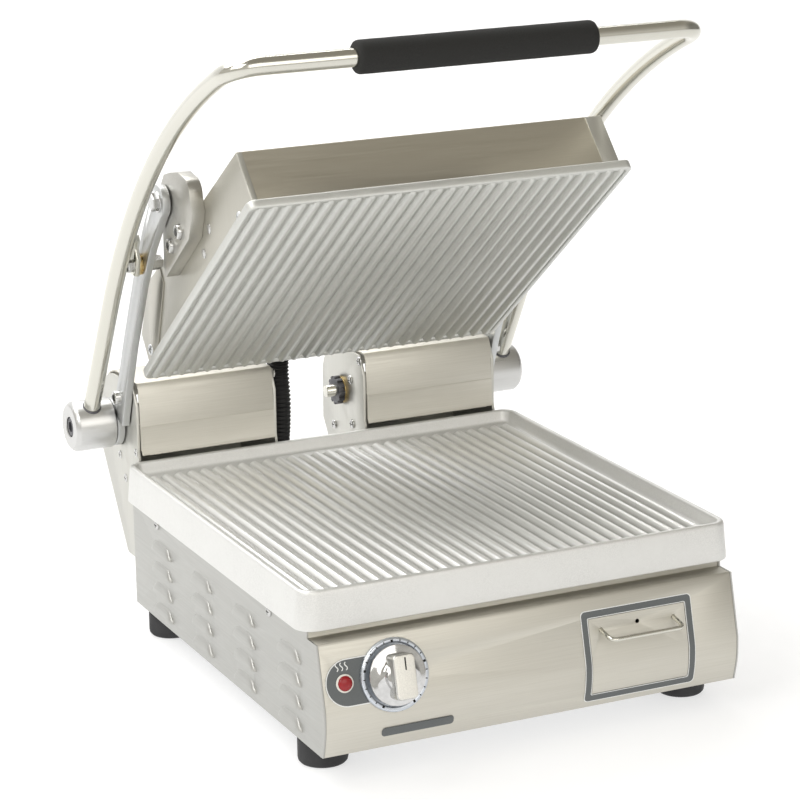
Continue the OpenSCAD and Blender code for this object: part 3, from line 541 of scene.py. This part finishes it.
FEET = [(x * 173.5, y) for x in (-1, 1) for y in (-174, 175)]
foot = lathe([(6.5, 9), (6.5, 0.6), (7.4, 0), (17.6, 0), (19.6, 0.6), (21.0, 2.2), (21.5, 4.6), (21.5, 20.5),
              (21.2, 21.3), (20.6, 21.6), (20.6, 22.4), (21.5, 22.9), (21.5, 25.0), (0, 25.0), (0, 9)], 64)
piece("rubber_feet", join(*[moved(foot, Matrix.Translation(spot(x, y, 0))) for x, y in FEET]), RUBBER, "feet")

# ---------- lower plate ----------

PLATE_W, PLATE_D, RIM_Z, SKIRT_Z, VALLEY_Z = 405.0, 412.0, 162.0, 128.0, 150.0
RIB_PITCH, RIB_TIP_Z = 12.7, 154.0


def ring(grow, z, radius):
    """Round-cornered ring of the lower casting, grown by a distance, in metres."""
    points = round_rect(PLATE_W + 2 * grow, PLATE_D + 2 * grow, max(radius, 2.0), 10)
    return [spot(x, y, z) for x, y in points]


RIM_PROFILE = [(-4.5, 139.0, 10.5), (-4.5, SKIRT_Z + 0.6, 10.5), (-4.0, SKIRT_Z, 11), (2.3, SKIRT_Z, 17.3),
               (2.9, SKIRT_Z + 0.5, 17.9), (2.95, SKIRT_Z + 1.2, 18), (0.35, RIM_Z - 3.4, 15.3),
               (-0.1, RIM_Z - 1.6, 15), (-0.9, RIM_Z - 0.5, 14.2), (-2.0, RIM_Z, 13), (-4.1, RIM_Z, 11),
               (-5.2, RIM_Z - 0.5, 10), (-5.9, RIM_Z - 1.6, 9.3), (-6.2, RIM_Z - 3.2, 9),
               (-7.4, VALLEY_Z + 3.0, 8), (-8.2, VALLEY_Z + 1.1, 7.2), (-9.8, VALLEY_Z + 0.15, 5.6),
               (-12.0, VALLEY_Z, 4)]
piece("lower_casting", loft([ring(*step) for step in RIM_PROFILE]), LOWER, "lower_plate", sharp=60)


def rib_run(count, y0, y1, tip, valley, slope_run=5.0):
    """Rounded ribs along y, with tapered ends; the base lies just under the valley. Millimetres."""
    profile = [(-0.36, 0.0), (-0.27, 0.32), (-0.20, 0.66), (-0.14, 0.90), (-0.07, 0.99),
               (0.07, 0.99), (0.14, 0.90), (0.20, 0.66), (0.27, 0.32), (0.36, 0.0)]
    shapes = []
    deep = valley - math.copysign(1.5, tip - valley)
    for i in range(count):
        x0 = (i - (count - 1) / 2) * RIB_PITCH
        rings = []
        for y, share in [(y0, 0.0), (y0 + slope_run * 0.4, 0.55), (y0 + slope_run, 1.0),
                         (y1 - slope_run, 1.0), (y1 - slope_run * 0.4, 0.55), (y1, 0.0)]:
            row = [(x0 + u * RIB_PITCH, y, valley + (tip - valley) * v * share) for u, v in profile]
            row += [(x0 + 0.36 * RIB_PITCH, y, deep), (x0 - 0.36 * RIB_PITCH, y, deep)]
            rings.append(row)
        shapes.append(loft(rings))
    return join(*shapes)


ribs = rib_run(30, -186, 186, RIB_TIP_Z, VALLEY_Z)
to_frame = Matrix.Translation((0, CENTRE_Y, 0)) @ Matrix.Scale(MM, 4)
piece("lower_ribs", moved(ribs, to_frame), GRIDDLE, "lower_plate", hides=[], sharp=50)
# the drain hole is a thin near-black disc: painted shade of the hole
drain_shade_disc = lathe([(5.6, 0), (5.6, 0.35), (5.0, 0.4), (4.4, 0.3), (4.2, 0.05), (0, 0.05), (0, 0)], 32)
drain_at = Matrix.Translation(spot(99.5, -194, VALLEY_Z))
piece("drain_hole_shade", moved(drain_shade_disc, drain_at), PAINTED_SHADE_AND_MARKS, "lower_plate", hides=[])

# ---------- platen ----------

RIB_TIP, PL_FRONT, PL_REAR, PL_BASE, PL_TOP = -94.6, -161.4, 183.6, -84.0, -32.5
BOX_X, BOX_FRONT, BOX_REAR, LEAN = 175.0, -152.9, 175.6, 5.0
SHOULDER, DROP_Z = (123.0, -19.5), -49.5
LEVEL = RAISED @ Matrix.Scale(MM, 4)
PL_MID = (PL_FRONT + PL_REAR) / 2


def slab(profile, width, depth, radius):
    """Round-cornered plate in the level platen frame from (grow, z) steps."""
    rings = []
    for grow, z in profile:
        points = round_rect(width + 2 * grow, depth + 2 * grow, max(radius + grow, 1.0), 8)
        rings.append([(x, y + PL_MID, z) for x, y in points])
    return loft(rings)


FLANGE = [(-6, RIB_TIP + 4), (-5.4, RIB_TIP + 2.4), (-4.6, RIB_TIP + 2.0), (-1.4, RIB_TIP + 2.0), (-0.4, RIB_TIP + 2.5),
          (0, RIB_TIP + 3.6), (0, PL_BASE - 1.6), (-0.5, PL_BASE - 0.5), (-1.6, PL_BASE)]
piece("upper_casting", moved(slab(FLANGE, 366, 345, 8), LEVEL), UPPER, "upper_plate", sharp=60)
upper_ribs = rib_run(28, PL_FRONT + 0.8, PL_REAR - 0.8, RIB_TIP, RIB_TIP + 4, 3.6)
piece("upper_ribs", moved(upper_ribs, LEVEL), UPPER, "upper_plate", hides=[], sharp=50)

# the cover: one sheet folded over front, top and back, and two side sheets with turned edges
COVER_LINE = [(BOX_FRONT, PL_BASE + 0.1), (BOX_FRONT + LEAN, PL_TOP), SHOULDER, (BOX_REAR, DROP_Z), (BOX_REAR, PL_BASE + 0.1)]


def cover_inset(d):
    """The cover's side outline, d millimetres inside it, open at its foot."""
    (fx, fz), (tx, tz), (sx, sz), (rx, rz), (ex, ez) = COVER_LINE
    return [(fx + d, fz), (tx + d, tz - d), (sx - d / 2, sz - d), (rx - d, rz - d / 2), (ex - d, ez)]


wrap = COVER_LINE + cover_inset(1.5)[::-1]
wrap_shape = loft([[(x, y, z) for y, z in wrap] for x in (-BOX_X + 0.6, BOX_X - 0.6)])
piece("cover_wrap", moved(wrap_shape, LEVEL), STEEL_COVER, "platen_cover", bevel=1.3, segments=4, sharp=25)
end_shape = loft([[(x, y, z) for y, z in cover_inset(0.4)] for x in (-BOX_X, -BOX_X + 1.5)])
piece("cover_ends", moved(both(end_shape), LEVEL), STEEL_END, "platen_cover",
      bevel=0.9, segments=3, sharp=25, hides=[])
# a lap of the rear sheet is folded on to each end, along the slope
lap = [(SHOULDER[0] + 1, SHOULDER[1] - 1.2), (BOX_REAR - 0.6, DROP_Z - 0.6), (BOX_REAR - 0.6, PL_BASE + 1.0),
       (150, PL_BASE + 1.0), (137, -74), (88, -40), (86, -25)]
lap_shape = loft([[(x, y, z) for y, z in lap] for x in (-BOX_X - 0.9, -BOX_X + 0.2)])
piece("cover_laps", moved(both(lap_shape), LEVEL), STEEL_END, "platen_cover",
      bevel=0.5, segments=2, sharp=25, hides=[])


def front_strip(x0, x1, v0, v1, out):
    """Strip on the cover's front face; v runs from 0 at its foot to 1 at its top."""
    def at(x, v, proud):
        return (x, BOX_FRONT + LEAN * v - proud, PL_BASE + (PL_TOP - PL_BASE) * v)
    rings = [[at(x0, v0, p), at(x1, v0, p), at(x1, v1, p), at(x0, v1, p)] for p in (0.0, out)]
    return loft(rings)


hems = join(front_strip(-BOX_X + 1, BOX_X - 1, 0.0, 0.055, 0.7),
            front_strip(-BOX_X + 0.2, -BOX_X + 5, 0.0, 0.985, 0.7),
            front_strip(BOX_X - 16, BOX_X - 0.2, 0.0, 0.985, 0.8))
piece("cover_hems", moved(hems, LEVEL), STEEL_TOWER, "platen_cover", bevel=0.3, segments=2, hides=[])

PLATEN_SCREWS = [(-118.5, -79.4), (162.9, -72)]
RIVETS = [(-48, -54), (-22, -65)]


def level_heads(places, x, head):
    return both(join(*[moved(head, RAISED @ toward(LEFT, Vector((-x, y, z)) * MM)) for y, z in places]))


piece("platen_screw_heads", level_heads(PLATEN_SCREWS, BOX_X, pan_head(5.4, 2.4)), ZINC_BRIGHT,
      "platen_screws", sharp=30)
rivet = pan_head(4.4, 1.3, recess=False)
piece("cover_rivets", level_heads(RIVETS, BOX_X, rivet), PLATED, "platen_cover", hides=[], sharp=30)

# ---------- arms, barrels, brackets ----------

for side in ("left", "right"):
    refined(side + "_arm", ARM, 1.4, 40)
    refined(side + "_platen_bracket", SHADED_BRACKET, 1.6, 40)
    refined(side + "_hinge_tower", STEEL_TOWER, 0.4)
    refined(side + "_spring_cover", STEEL_X, 0.4)
    refined(side + "_shaft", TUBE, 0.6, 40)

crease = outline([(207.2, 166.3), (209.65, 170), (210.25, 193), (210.65, 193), (210.1, 170), (207.7, 166.3)])
piece("spring_cover_laps", both(prism(crease, -184.3, -49.2)), STEEL_X, "left_spring_cover", hides=[])

BARREL_R, BARREL_IN = 24.0, 196.2
barrel_profile = [(9.1, 0), (BARREL_R - 1, 0), (BARREL_R, 1), (BARREL_R, 35.4), (BARREL_R - 0.6, 36.6),
                  (BARREL_R - 2.6, 39.0), (BARREL_R - 3.8, 39.8), (10.5, 39.8), (9.6, 39.2), (9.4, 31), (9.1, 31)]
barrel = moved(lathe(barrel_profile, 72), toward(LEFT, HINGE - Vector((BARREL_IN * MM, 0, 0))))
RISE = math.radians(30)
RISE_WAY = Vector((0, -math.sin(RISE), math.cos(RISE)))
collar_at = HINGE + Vector((-0.217, 0, 0))
collar = lathe([(7.9, 20), (8.8, 20), (8.9, 24.0), (8.6, 24.5), (7.9, 24.6)], 48)
for side, turn in (("left", Matrix.Identity(4)), ("right", MIRROR)):
    piece(side + "_hub_barrel", moved(barrel, turn), TURNED, side + "_barrel", sharp=30)
    piece(side + "_tube_collar", moved(moved(collar, toward(RISE_WAY, collar_at)), turn), DARK_STEEL,
          side + "_barrel", hides=[])
cap = socket_head(9.0, 3.4)
piece("barrel_cap_screws", both(moved(cap, toward(LEFT, HINGE - Vector((0.2316, 0, 0))))), DARK_STEEL,
      "barrel_screws", sharp=30)
arm_x = 195.5
clamp = moved(socket_head(6.4, 6.8), toward(LEFT, spot(-arm_x, 232, 219)))
piece("clamp_screw_heads", both(clamp), PLATED, "arm_screws", sharp=30)
bracket_heads = level_heads([(-11, -36.5), (16, -36.5)], 184.9, socket_head(6.6, 6.2))
piece("bracket_socket_screws", bracket_heads, PLATED, "bracket_screws", sharp=30)

eye_mm = (EYE.y - CENTRE_Y) / MM, EYE.z / MM
bolt = join(moved(hexagon(14.5, 5.6), toward(LEFT, spot(-arm_x - 0.8, *eye_mm))),
            moved(lathe([(0, 0), (9.4, 0), (9.6, 0.4), (9.4, 0.9), (0, 0.9)], 40),
                  toward(LEFT, spot(-arm_x, *eye_mm))),
            moved(lathe([(0, 0), (4.95, 0), (4.95, 21), (0, 21)], 40), toward(LEFT, spot(-174.6, *eye_mm))),
            moved(hexagon(13, 4.2), toward((1, 0, 0), spot(-174.4, *eye_mm))))
piece("pivot_bolt_set", both(bolt), PLATED, "pivot_bolts", sharp=30)

TAB = (162, 361)
STOP_INNER, STOP_REACH = -188.4, 12.2  # from the arm inwards, clear of the platen cover
stop = join(moved(hexagon(11.5, 4.9), toward(LEFT, spot(-204.6, *TAB))),
            moved(lathe([(0, 0), (3.9, 0), (3.9, 18), (0, 18)], 32), toward(LEFT, spot(-187, *TAB))),
            moved(hexagon(12.0, STOP_REACH), toward((1, 0, 0), spot(STOP_INNER, *TAB))))
piece("stop_bolts", both(stop), PLATED, "stop_pins", sharp=30)
teeth = join(*[moved(block((-0.0006, 0.0078, 0.0004), (0.0006, 0.0096, 0.0016)), Matrix.Rotation(k * math.pi / 6, 4, "Z"))
               for k in range(12)])
washer = join(lathe([(4.2, 0), (8.2, 0), (8.4, 0.4), (8.4, 4.3), (8.2, 4.7), (4.2, 4.7)], 40), teeth)
piece("brass_washers", both(moved(washer, toward(LEFT, spot(-arm_x - 0.1, *TAB)))), BRONZE,
      "lock_washers", sharp=30)
refined("handle_tabs", TUBE, 0.7)

# ---------- handle ----------

HANDLE_X, TUBE_R, STRAIGHT, SWEEP_R, BEND_R = 217.0, 7.9, 150.0, 600.0, 26.0
TOP = math.radians(67.5)


def handle_path():
    """Centre line of the bent tube, from the left barrel over the bar to the right barrel."""
    hinge = Vector(((HINGE.y - CENTRE_Y) / MM, HINGE.z / MM))
    rise = Vector((-math.sin(RISE), math.cos(RISE)))
    start = [hinge + rise * s for s in (14, 60, 110, STRAIGHT)]
    centre = start[-1] + SWEEP_R * Vector((-math.cos(RISE), -math.sin(RISE)))
    sweep = [centre + SWEEP_R * Vector((math.cos(a), math.sin(a)))
             for a in (RISE + (TOP - RISE) * i / 24 for i in range(1, 25))]
    way = Vector((-math.sin(TOP), math.cos(TOP)))
    side = [spot(-HANDLE_X, *p) for p in start + sweep]
    corner = [spot(-HANDLE_X + BEND_R * (1 - math.cos(a)), *(sweep[-1] + way * BEND_R * math.sin(a)))
              for a in (math.pi / 2 * i / 14 for i in range(1, 15))]
    half = side + corner
    return half + [Vector((-p.x, p.y, p.z)) for p in reversed(half)]


piece("bent_handle", tube(handle_path(), TUBE_R * MM, 36), TUBE, "handle_tube", sharp=60)
grip_low, grip_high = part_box("handle_grip")
grip_mid = (grip_low + grip_high) / 2
GRIP_R = (grip_high.y - grip_low.y) / 2 / MM - 0.1
GRIP_L = (grip_high.x - grip_low.x) / MM
grip_profile = [(8.2, 0), (GRIP_R - 3.2, 0), (GRIP_R - 1.9, 0.3), (GRIP_R - 0.9, 1.1),
                (GRIP_R - 0.25, 2.5), (GRIP_R, 4.5)]
grip_profile += [(GRIP_R + 0.05 * math.sin(i * 2.1), 8 + (GRIP_L - 16) * i / 24) for i in range(25)]
grip_profile += [(r, GRIP_L - h) for r, h in reversed(grip_profile[:6])]
grip_start = Vector((grip_low.x, grip_mid.y, grip_mid.z))
piece("foam_sleeve", moved(lathe(grip_profile, 64), toward((1, 0, 0), grip_start)), FOAM,
      "handle_grip", sharp=45)

# ---------- controls ----------

DIAL_X, DIAL_Z, PILOT_X = -131.5, 87.0, -176.0


def flat_band(points, z0, z1, closed=True, width=0.7):
    """Raised printed line of a given width along 2D points, in millimetres."""
    count = len(points)
    inner, outer = [], []
    for i in range(count):
        before = Vector(points[i - 1] if closed or i else points[0])
        after = Vector(points[(i + 1) % count] if closed or i < count - 1 else points[-1])
        way = (after - before).normalized()
        side = Vector((-way.y, way.x)) * width / 2
        inner.append(Vector(points[i]) - side)
        outer.append(Vector(points[i]) + side)
    rings = [[(*inner[i], z0), (*outer[i], z0), (*outer[i], z1), (*inner[i], z1)] for i in range(count)]
    return loft(rings, closed=closed)


def capsule(grow):
    """Outline of the control label, grown by a distance."""
    left, right, radius = PILOT_X + 3, DIAL_X - 8, 20 + grow
    return (arc((left, 0), radius, 90, 270, 24) + arc((right, 0), radius, -90, 90, 24))


PANEL = on_panel(0, DIAL_Z) @ Matrix.Scale(MM, 4)
label = loft([[(x, y, z) for x, y in capsule(0)] for z in (0.1, 0.5)])
piece("control_label_sheet", moved(label, PANEL), LABEL, "control_label")
printed = [flat_band(capsule(-0.45), 0.3, 0.58, width=0.9)]
for i in range(3):
    wave = [(PILOT_X - 5.5 + 4.2 * i + 1.1 * math.sin(t * 0.55), 10.6 + t * 0.62) for t in range(12)]
    printed.append(flat_band(wave, 0.5, 0.58, closed=False, width=0.9))
piece("control_label_print", moved(join(*printed), PANEL), INK, "control_label", hides=[])

dial_frame = on_panel(DIAL_X, DIAL_Z)
bezel = lathe([(6, 0.3), (30.2, 0.3), (30.9, 0.8), (31, 1.6), (30.4, 3.2), (29.6, 3.8), (28.8, 4.0), (27.4, 3.9),
               (26.6, 3.4), (26.2, 1.4), (6, 1.4)], 96)
RING = plain("bezel_ring", (0.66, 0.70, 0.76), 0.28, 0.9, 300)
piece("dial_bezel_ring", moved(bezel, dial_frame), RING, "dial_bezel", sharp=40)
ticks = []
for k in range(21):
    long_mark = 0.0006 if k % 5 == 0 else 0.0
    mark = block((-0.00045 - long_mark, 0.0276 - long_mark, 0.00372), (0.00045 + long_mark, 0.0292, 0.00406))
    ticks.append(moved(mark, Matrix.Rotation(math.radians(-150 + 300 * k / 20), 4, "Z")))
piece("dial_ticks", moved(join(*ticks), dial_frame), PAINTED_SHADE_AND_MARKS, "dial_bezel", hides=[])

knob_frame = on_panel(DIAL_X, DIAL_Z, 7.0)
dish = lathe([(3.1, 0), (24.6, 0), (25.4, 0.5), (25.5, 1.2), (25.1, 1.9), (23.6, 2.3), (20.5, 2.5), (17.5, 3.3),
              (15, 4.6), (13.6, 6.2), (13.2, 8.0), (12.8, 9.6), (11.6, 10.2), (3.1, 10.2)], 96)
piece("knob_skirt", moved(dish, knob_frame), CHROME, "knob", sharp=40)


def pad(width, height, z0, z1, radius):
    """Round-cornered pad with eased edges, in millimetres."""
    rings = []
    for inset, z in [(0, z0), (0, z1 - 1.4), (0.4, z1 - 0.5), (1.3, z1)]:
        rings.append([(x, y, z) for x, y in round_rect(width - 2 * inset, height - 2 * inset, radius - inset * 0.6, 8)])
    return loft(rings)


bar = moved(pad(19.6, 37.6, 3.5, 17.4, 4.2), knob_frame @ Matrix.Scale(MM, 4))
piece("knob_bar", bar, plain("knob_satin", (0.62, 0.62, 0.60), 0.30, 1.0, 500), "knob", hides=[], sharp=50)
face = moved(pad(17.8, 35.8, 17.3, 19.4, 3.4), knob_frame @ Matrix.Scale(MM, 4))
piece("knob_face", face, IVORY, "knob_insert", sharp=50)
pointer = block((-0.0006, 0.006, 0.0193), (0.0006, 0.0165, 0.01955))
piece("knob_pointer", moved(pointer, knob_frame), PAINTED_SHADE_AND_MARKS, "knob_insert", hides=[])
refined("thermostat_shaft", PLATED, 0.3)
refined("thermostat", ZINC, 0.5)

pilot_frame = on_panel(PILOT_X, DIAL_Z)
lens = lathe([(0, -19), (5.9, -19), (5.9, 0.7), (6.4, 1.2), (6.3, 2.2), (5.6, 3.3), (4.2, 4.1), (2.2, 4.6), (0, 4.7)], 48)
piece("pilot_lens", moved(lens, pilot_frame), RED, "pilot_light", sharp=60)
lens_ring = lathe([(6.1, 0.4), (7.7, 0.4), (7.8, 1.0), (7.4, 1.7), (6.6, 1.9), (6.1, 1.6)], 48)
piece("pilot_ring", moved(lens_ring, pilot_frame), IVORY, "pilot_light", hides=[])

refined("badge_plate", LABEL, 0.2)

# ---------- grease drawer ----------


def panel_y(z):
    """Outside of the front panel at a height, in millimetres."""
    if z > PANEL_LOW[1]:
        return PANEL_TOP[0] + (z - PANEL_TOP[1]) * math.tan(SLOPE)
    steps = [(25, -227), (42.6, -231.3), (49.6, -232.1), (57.6, -232.3), (65.6, -231.9)]
    for (z0, y0), (z1, y1) in zip(steps, steps[1:]):
        if z <= z1:
            return y0 + (y1 - y0) * (z - z0) / (z1 - z0)
    return steps[-1][1]


def wrapped(shape):
    """Lays a flat shape (x across, y up, z out, in millimetres) on the bent front panel."""
    corners, faces = shape
    laid = []
    for x, up, out in corners:
        laid.append(spot(x, panel_y(up) - out, up))
    return laid, faces


def frame_band(grow_in, grow_out, z0, z1, x_mid, x_half, low, high, radius):
    """Rectangular ring with round corners in panel coordinates."""
    def loop(grow):
        r = max(radius + 0.4 * grow, 0.6)
        steps = []
        for x, y in round_rect(2 * (x_half + grow), high - low + 2 * grow, r, 6):
            steps.append((x_mid + x, (low + high) / 2 + y))
        dense = []
        for (ax, ay), (bx, by) in zip(steps, steps[1:] + steps[:1]):
            parts = max(1, int(math.hypot(bx - ax, by - ay) / 4))
            if parts > 3:
                dense += [(ax + (bx - ax) * i / 12, ay + (by - ay) * i / 12) for i in range(12)]
            else:
                dense.append((ax, ay))
        return dense
    inner, outer = loop(grow_in), loop(grow_out)
    rings = [[(*i, z0), (*o, z0), (*o, z1), (*i, z1)] for i, o in zip(inner, outer)]
    return loft(rings, closed=True)


DRAWER_X, DRAWER_HALF, DRAWER_LOW, DRAWER_HIGH = 99.5, 47.0, 37.5, 102.5
edges = (DRAWER_X, DRAWER_HALF, DRAWER_LOW, DRAWER_HIGH, 1.0)
piece("drawer_label_frame", wrapped(frame_band(0.9, 6.9, 0.15, 0.6, *edges)), LABEL, "drawer_label")
lines = join(wrapped(frame_band(0.5, 1.1, 0.15, 0.66, *edges)),
             wrapped(frame_band(6.5, 7.1, 0.15, 0.66, *edges)))
piece("drawer_label_print", lines, INK, "drawer_label", hides=[])
refined("drawer_front", STEEL_X, 0.4)
refined("drawer_tray", ZINC, 0.4)
refined("drawer_runners", ZINC, 0.2)

pull_frame = on_panel(DRAWER_X, 92) @ Matrix.Rotation(math.radians(24), 4, "X")
PULL_HALF, PULL_OUT, PULL_BEND = 35.5, 19.0, 6.0
half_pull = [(-PULL_HALF, 0, -2), (-PULL_HALF, 0, 5), (-PULL_HALF, 0, PULL_OUT - PULL_BEND)]
half_pull += [(-PULL_HALF + PULL_BEND * (1 - math.cos(a)), 0, PULL_OUT - PULL_BEND * (1 - math.sin(a)))
              for a in (math.pi / 2 * i / 8 for i in range(1, 9))]
pull_path = [Vector(p) * MM for p in half_pull + [(-x, y, z) for x, y, z in reversed(half_pull)]]
piece("wire_pull", moved(tube(pull_path, 1.95 * MM, 20), pull_frame), TUBE, "drawer_pull", sharp=60)

# ---------- springs, bushes and hidden pieces ----------


def helix(x0, turns, pitch, radius, steps=28):
    """Spring centre line round the hinge axis, in millimetres."""
    points = [Vector((x0, radius * math.cos(a), radius * math.sin(a)))
              + Vector((pitch * a / (2 * math.pi), 0, 0))
              for a in (2 * math.pi * i / steps for i in range(turns * steps + 1))]
    return [HINGE + p * MM for p in points]


coil = tube(helix(-150, 9, 6.7, 16), 3 * MM, 12)
for side, turn in (("left", Matrix.Identity(4)), ("right", MIRROR)):
    piece(side + "_spring_coil", moved(coil, turn), DARK_STEEL, side + "_torsion_spring", sharp=60)
for name, paint, bevel in [("bearing_bushes", BRONZE, 0.3), ("shaft_lock_nuts", DARK_STEEL, 0.4),
                           ("foot_screws", PLATED, 0.4), ("lower_element", SHEATH, 0), ("upper_element", SHEATH, 0),
                           ("lower_insulation", BOARD, 1.0), ("upper_insulation", BOARD, 1.0),
                           ("terminal_block", IVORY, 0.4), ("cord_gland", PLASTIC, 0.5),
                           ("upper_conduit_fitting", PLASTIC, 0.5), ("lower_conduit_fitting", PLASTIC, 0.5)]:
    refined(name, paint, bevel)

# ---------- conduit ----------

CONDUIT_X = -30.0
ROUTE = [(223, 92), (232, 92.5), (241, 97), (247, 106), (249, 120), (248, 136), (245, 152), (242, 168), (240.5, 184),
         (240.5, 198), (242, 210), (243.5, 222), (242.1, 234.8), (236.4, 245.7), (228, 253.9), (222.5, 258.2)]


def smooth_route(points, step):
    """Catmull-Rom curve through the chosen points, sampled at even steps, in millimetres."""
    dense = []
    for i in range(len(points) - 1):
        p0, p1, p2, p3 = (Vector(points[max(0, min(len(points) - 1, i + k))]) for k in (-1, 0, 1, 2))
        for j in range(24):
            t = j / 24
            dense.append(0.5 * ((2 * p1) + (p2 - p0) * t + (2 * p0 - 5 * p1 + 4 * p2 - p3) * t * t
                                + (3 * p1 - p0 - 3 * p2 + p3) * t * t * t))
    dense.append(Vector(points[-1]))
    even, walked, target = [], 0.0, 0.0
    for a, b in zip(dense, dense[1:]):
        length = (b - a).length
        while target <= walked + length:
            even.append(a.lerp(b, (target - walked) / length if length else 0))
            target += step
        walked += length
    return even


def corrugated(points):
    """Corrugated tube: rounded rings every 4 mm along its run."""
    radii = [(9.9 + 0.75 * math.sin(2 * math.pi * i * ROUTE_STEP / 4.0)) * MM for i in range(len(points))]
    return tube([spot(CONDUIT_X, *p) for p in points], 0, 30, radii=radii)


ROUTE_STEP = 0.5
run = smooth_route(ROUTE, ROUTE_STEP)
halfway = next(i for i, p in enumerate(run) if p.y > 187)
lower_hose = piece("lower_conduit_run", corrugated(run[:halfway + 1]), PLASTIC, "conduit",
                   sharp=60, rides=False)
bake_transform(lower_hose)
upper_hose = piece("upper_conduit_run", corrugated(run[halfway:]), PLASTIC, "conduit", sharp=60, rides=False)
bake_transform(upper_hose)

# ---------- floor, light and camera ----------

floor_paint = plain("floor_white", (0.44, 0.44, 0.44), 0.85, 0.0, 900, emission_strength=0.62)
floor_rings = []
for x in (-6.0, 6.0):
    floor_rings.append([Vector((x, -6.0, 0)), Vector((x, 2.6, 0))]
                       + [Vector((x, 2.6 + 1.4 * math.sin(a), 1.4 - 1.4 * math.cos(a)))
                          for a in (math.pi / 2 * i / 16 for i in range(1, 17))] + [Vector((x, 4.0, 5.0))])
floor_mesh = bpy.data.meshes.new("floor")
count = len(floor_rings[0])
floor_mesh.from_pydata([tuple(p) for row in floor_rings for p in row], [],
                       [[i, i + 1, count + i + 1, count + i] for i in range(count - 1)])
floor_mesh.shade_smooth()
floor_mesh.materials.append(floor_paint)
floor = bpy.data.objects.new("floor", floor_mesh)
bpy.context.scene.collection.objects.link(floor)

scene = bpy.context.scene
world = bpy.data.worlds.new("studio")
scene.world = world
world.use_nodes = True
sky = world.node_tree
back = sky.nodes["Background"]
where = sky.nodes.new("ShaderNodeTexCoord")
split = sky.nodes.new("ShaderNodeSeparateXYZ")
ramp = sky.nodes.new("ShaderNodeValToRGB")
sky.links.new(where.outputs["Generated"], split.inputs["Vector"])
sky.links.new(split.outputs["Z"], ramp.inputs["Fac"])
stops = [(0.0, (0.62, 0.60, 0.55)), (0.18, (0.68, 0.66, 0.61)), (0.45, (0.52, 0.50, 0.45)),
         (0.80, (0.34, 0.32, 0.275))]
ramp.color_ramp.elements[0].position, ramp.color_ramp.elements[1].position = stops[0][0], stops[-1][0]
for place, colour in stops[1:-1]:
    ramp.color_ramp.elements.new(place)
for element, (place, colour) in zip(ramp.color_ramp.elements, stops):
    element.color = (*colour, 1)
# a darker stretch to the right gives round metal its edge lines
flag = sky.nodes.new("ShaderNodeMapRange")
flag.inputs["From Min"].default_value, flag.inputs["From Max"].default_value = 0.68, 0.90
flag.inputs["To Min"].default_value, flag.inputs["To Max"].default_value = 1.0, 0.40
shade = sky.nodes.new("ShaderNodeVectorMath")
shade.operation = "SCALE"
sky.links.new(split.outputs["X"], flag.inputs["Value"])
sky.links.new(ramp.outputs["Color"], shade.inputs[0])
sky.links.new(flag.outputs["Result"], shade.inputs["Scale"])
sky.links.new(shade.outputs["Vector"], back.inputs["Color"])
back.inputs["Strength"].default_value = 1.0


def area_light(name, place, aim, size, power, colour=(1, 1, 1)):
    data = bpy.data.lights.new(name, "AREA")
    data.shape = "RECTANGLE"
    data.size, data.size_y = size
    data.energy = power
    data.color = colour
    lamp = bpy.data.objects.new(name, data)
    way = Vector(aim) - Vector(place)
    lamp.matrix_world = Matrix.Translation(Vector(place)) @ way.to_track_quat("-Z", "Y").to_matrix().to_4x4()
    scene.collection.objects.link(lamp)


area_light("key_left", (-2.3, -0.9, 2.1), (0, 0, 0.2), (1.6, 1.6), 30)
area_light("top_back", (-0.9, 1.3, 2.7), (0, 0.2, 0.1), (3.2, 2.2), 66)
area_light("fill_front", (-0.2, -2.8, 1.6), (0, 0, 0.1), (2.8, 1.8), 24, (1.0, 0.98, 0.95))
area_light("backdrop", (0.6, 1.9, 3.2), (0.6, 3.9, 0.9), (3.0, 1.0), 70)

CAMERA_TURN, CAMERA_RISE, CAMERA_ROLL = math.radians(-25.275), math.radians(15.693), math.radians(-0.8155)
CAMERA_AIM = spot(-15.2, 0, 249.5)
CAMERA_FAR = 2.597
way = Vector((-math.sin(CAMERA_TURN) * math.cos(CAMERA_RISE), math.cos(CAMERA_TURN) * math.cos(CAMERA_RISE),
              -math.sin(CAMERA_RISE)))
right = Vector((math.cos(CAMERA_TURN), math.sin(CAMERA_TURN), 0))
upward = right.cross(way)
turned_right = right * math.cos(CAMERA_ROLL) + upward * math.sin(CAMERA_ROLL)
turned_up = upward * math.cos(CAMERA_ROLL) - right * math.sin(CAMERA_ROLL)
camera_data = bpy.data.cameras.new("camera")
camera_data.lens = 131.2
camera_data.sensor_width = 36
camera = bpy.data.objects.new("camera", camera_data)
axes = Matrix((turned_right, turned_up, -way)).transposed().to_4x4()
camera.matrix_world = Matrix.Translation(CAMERA_AIM - way * CAMERA_FAR) @ axes
scene.collection.objects.link(camera)
scene.camera = camera
scene.view_settings.view_transform = "Standard"
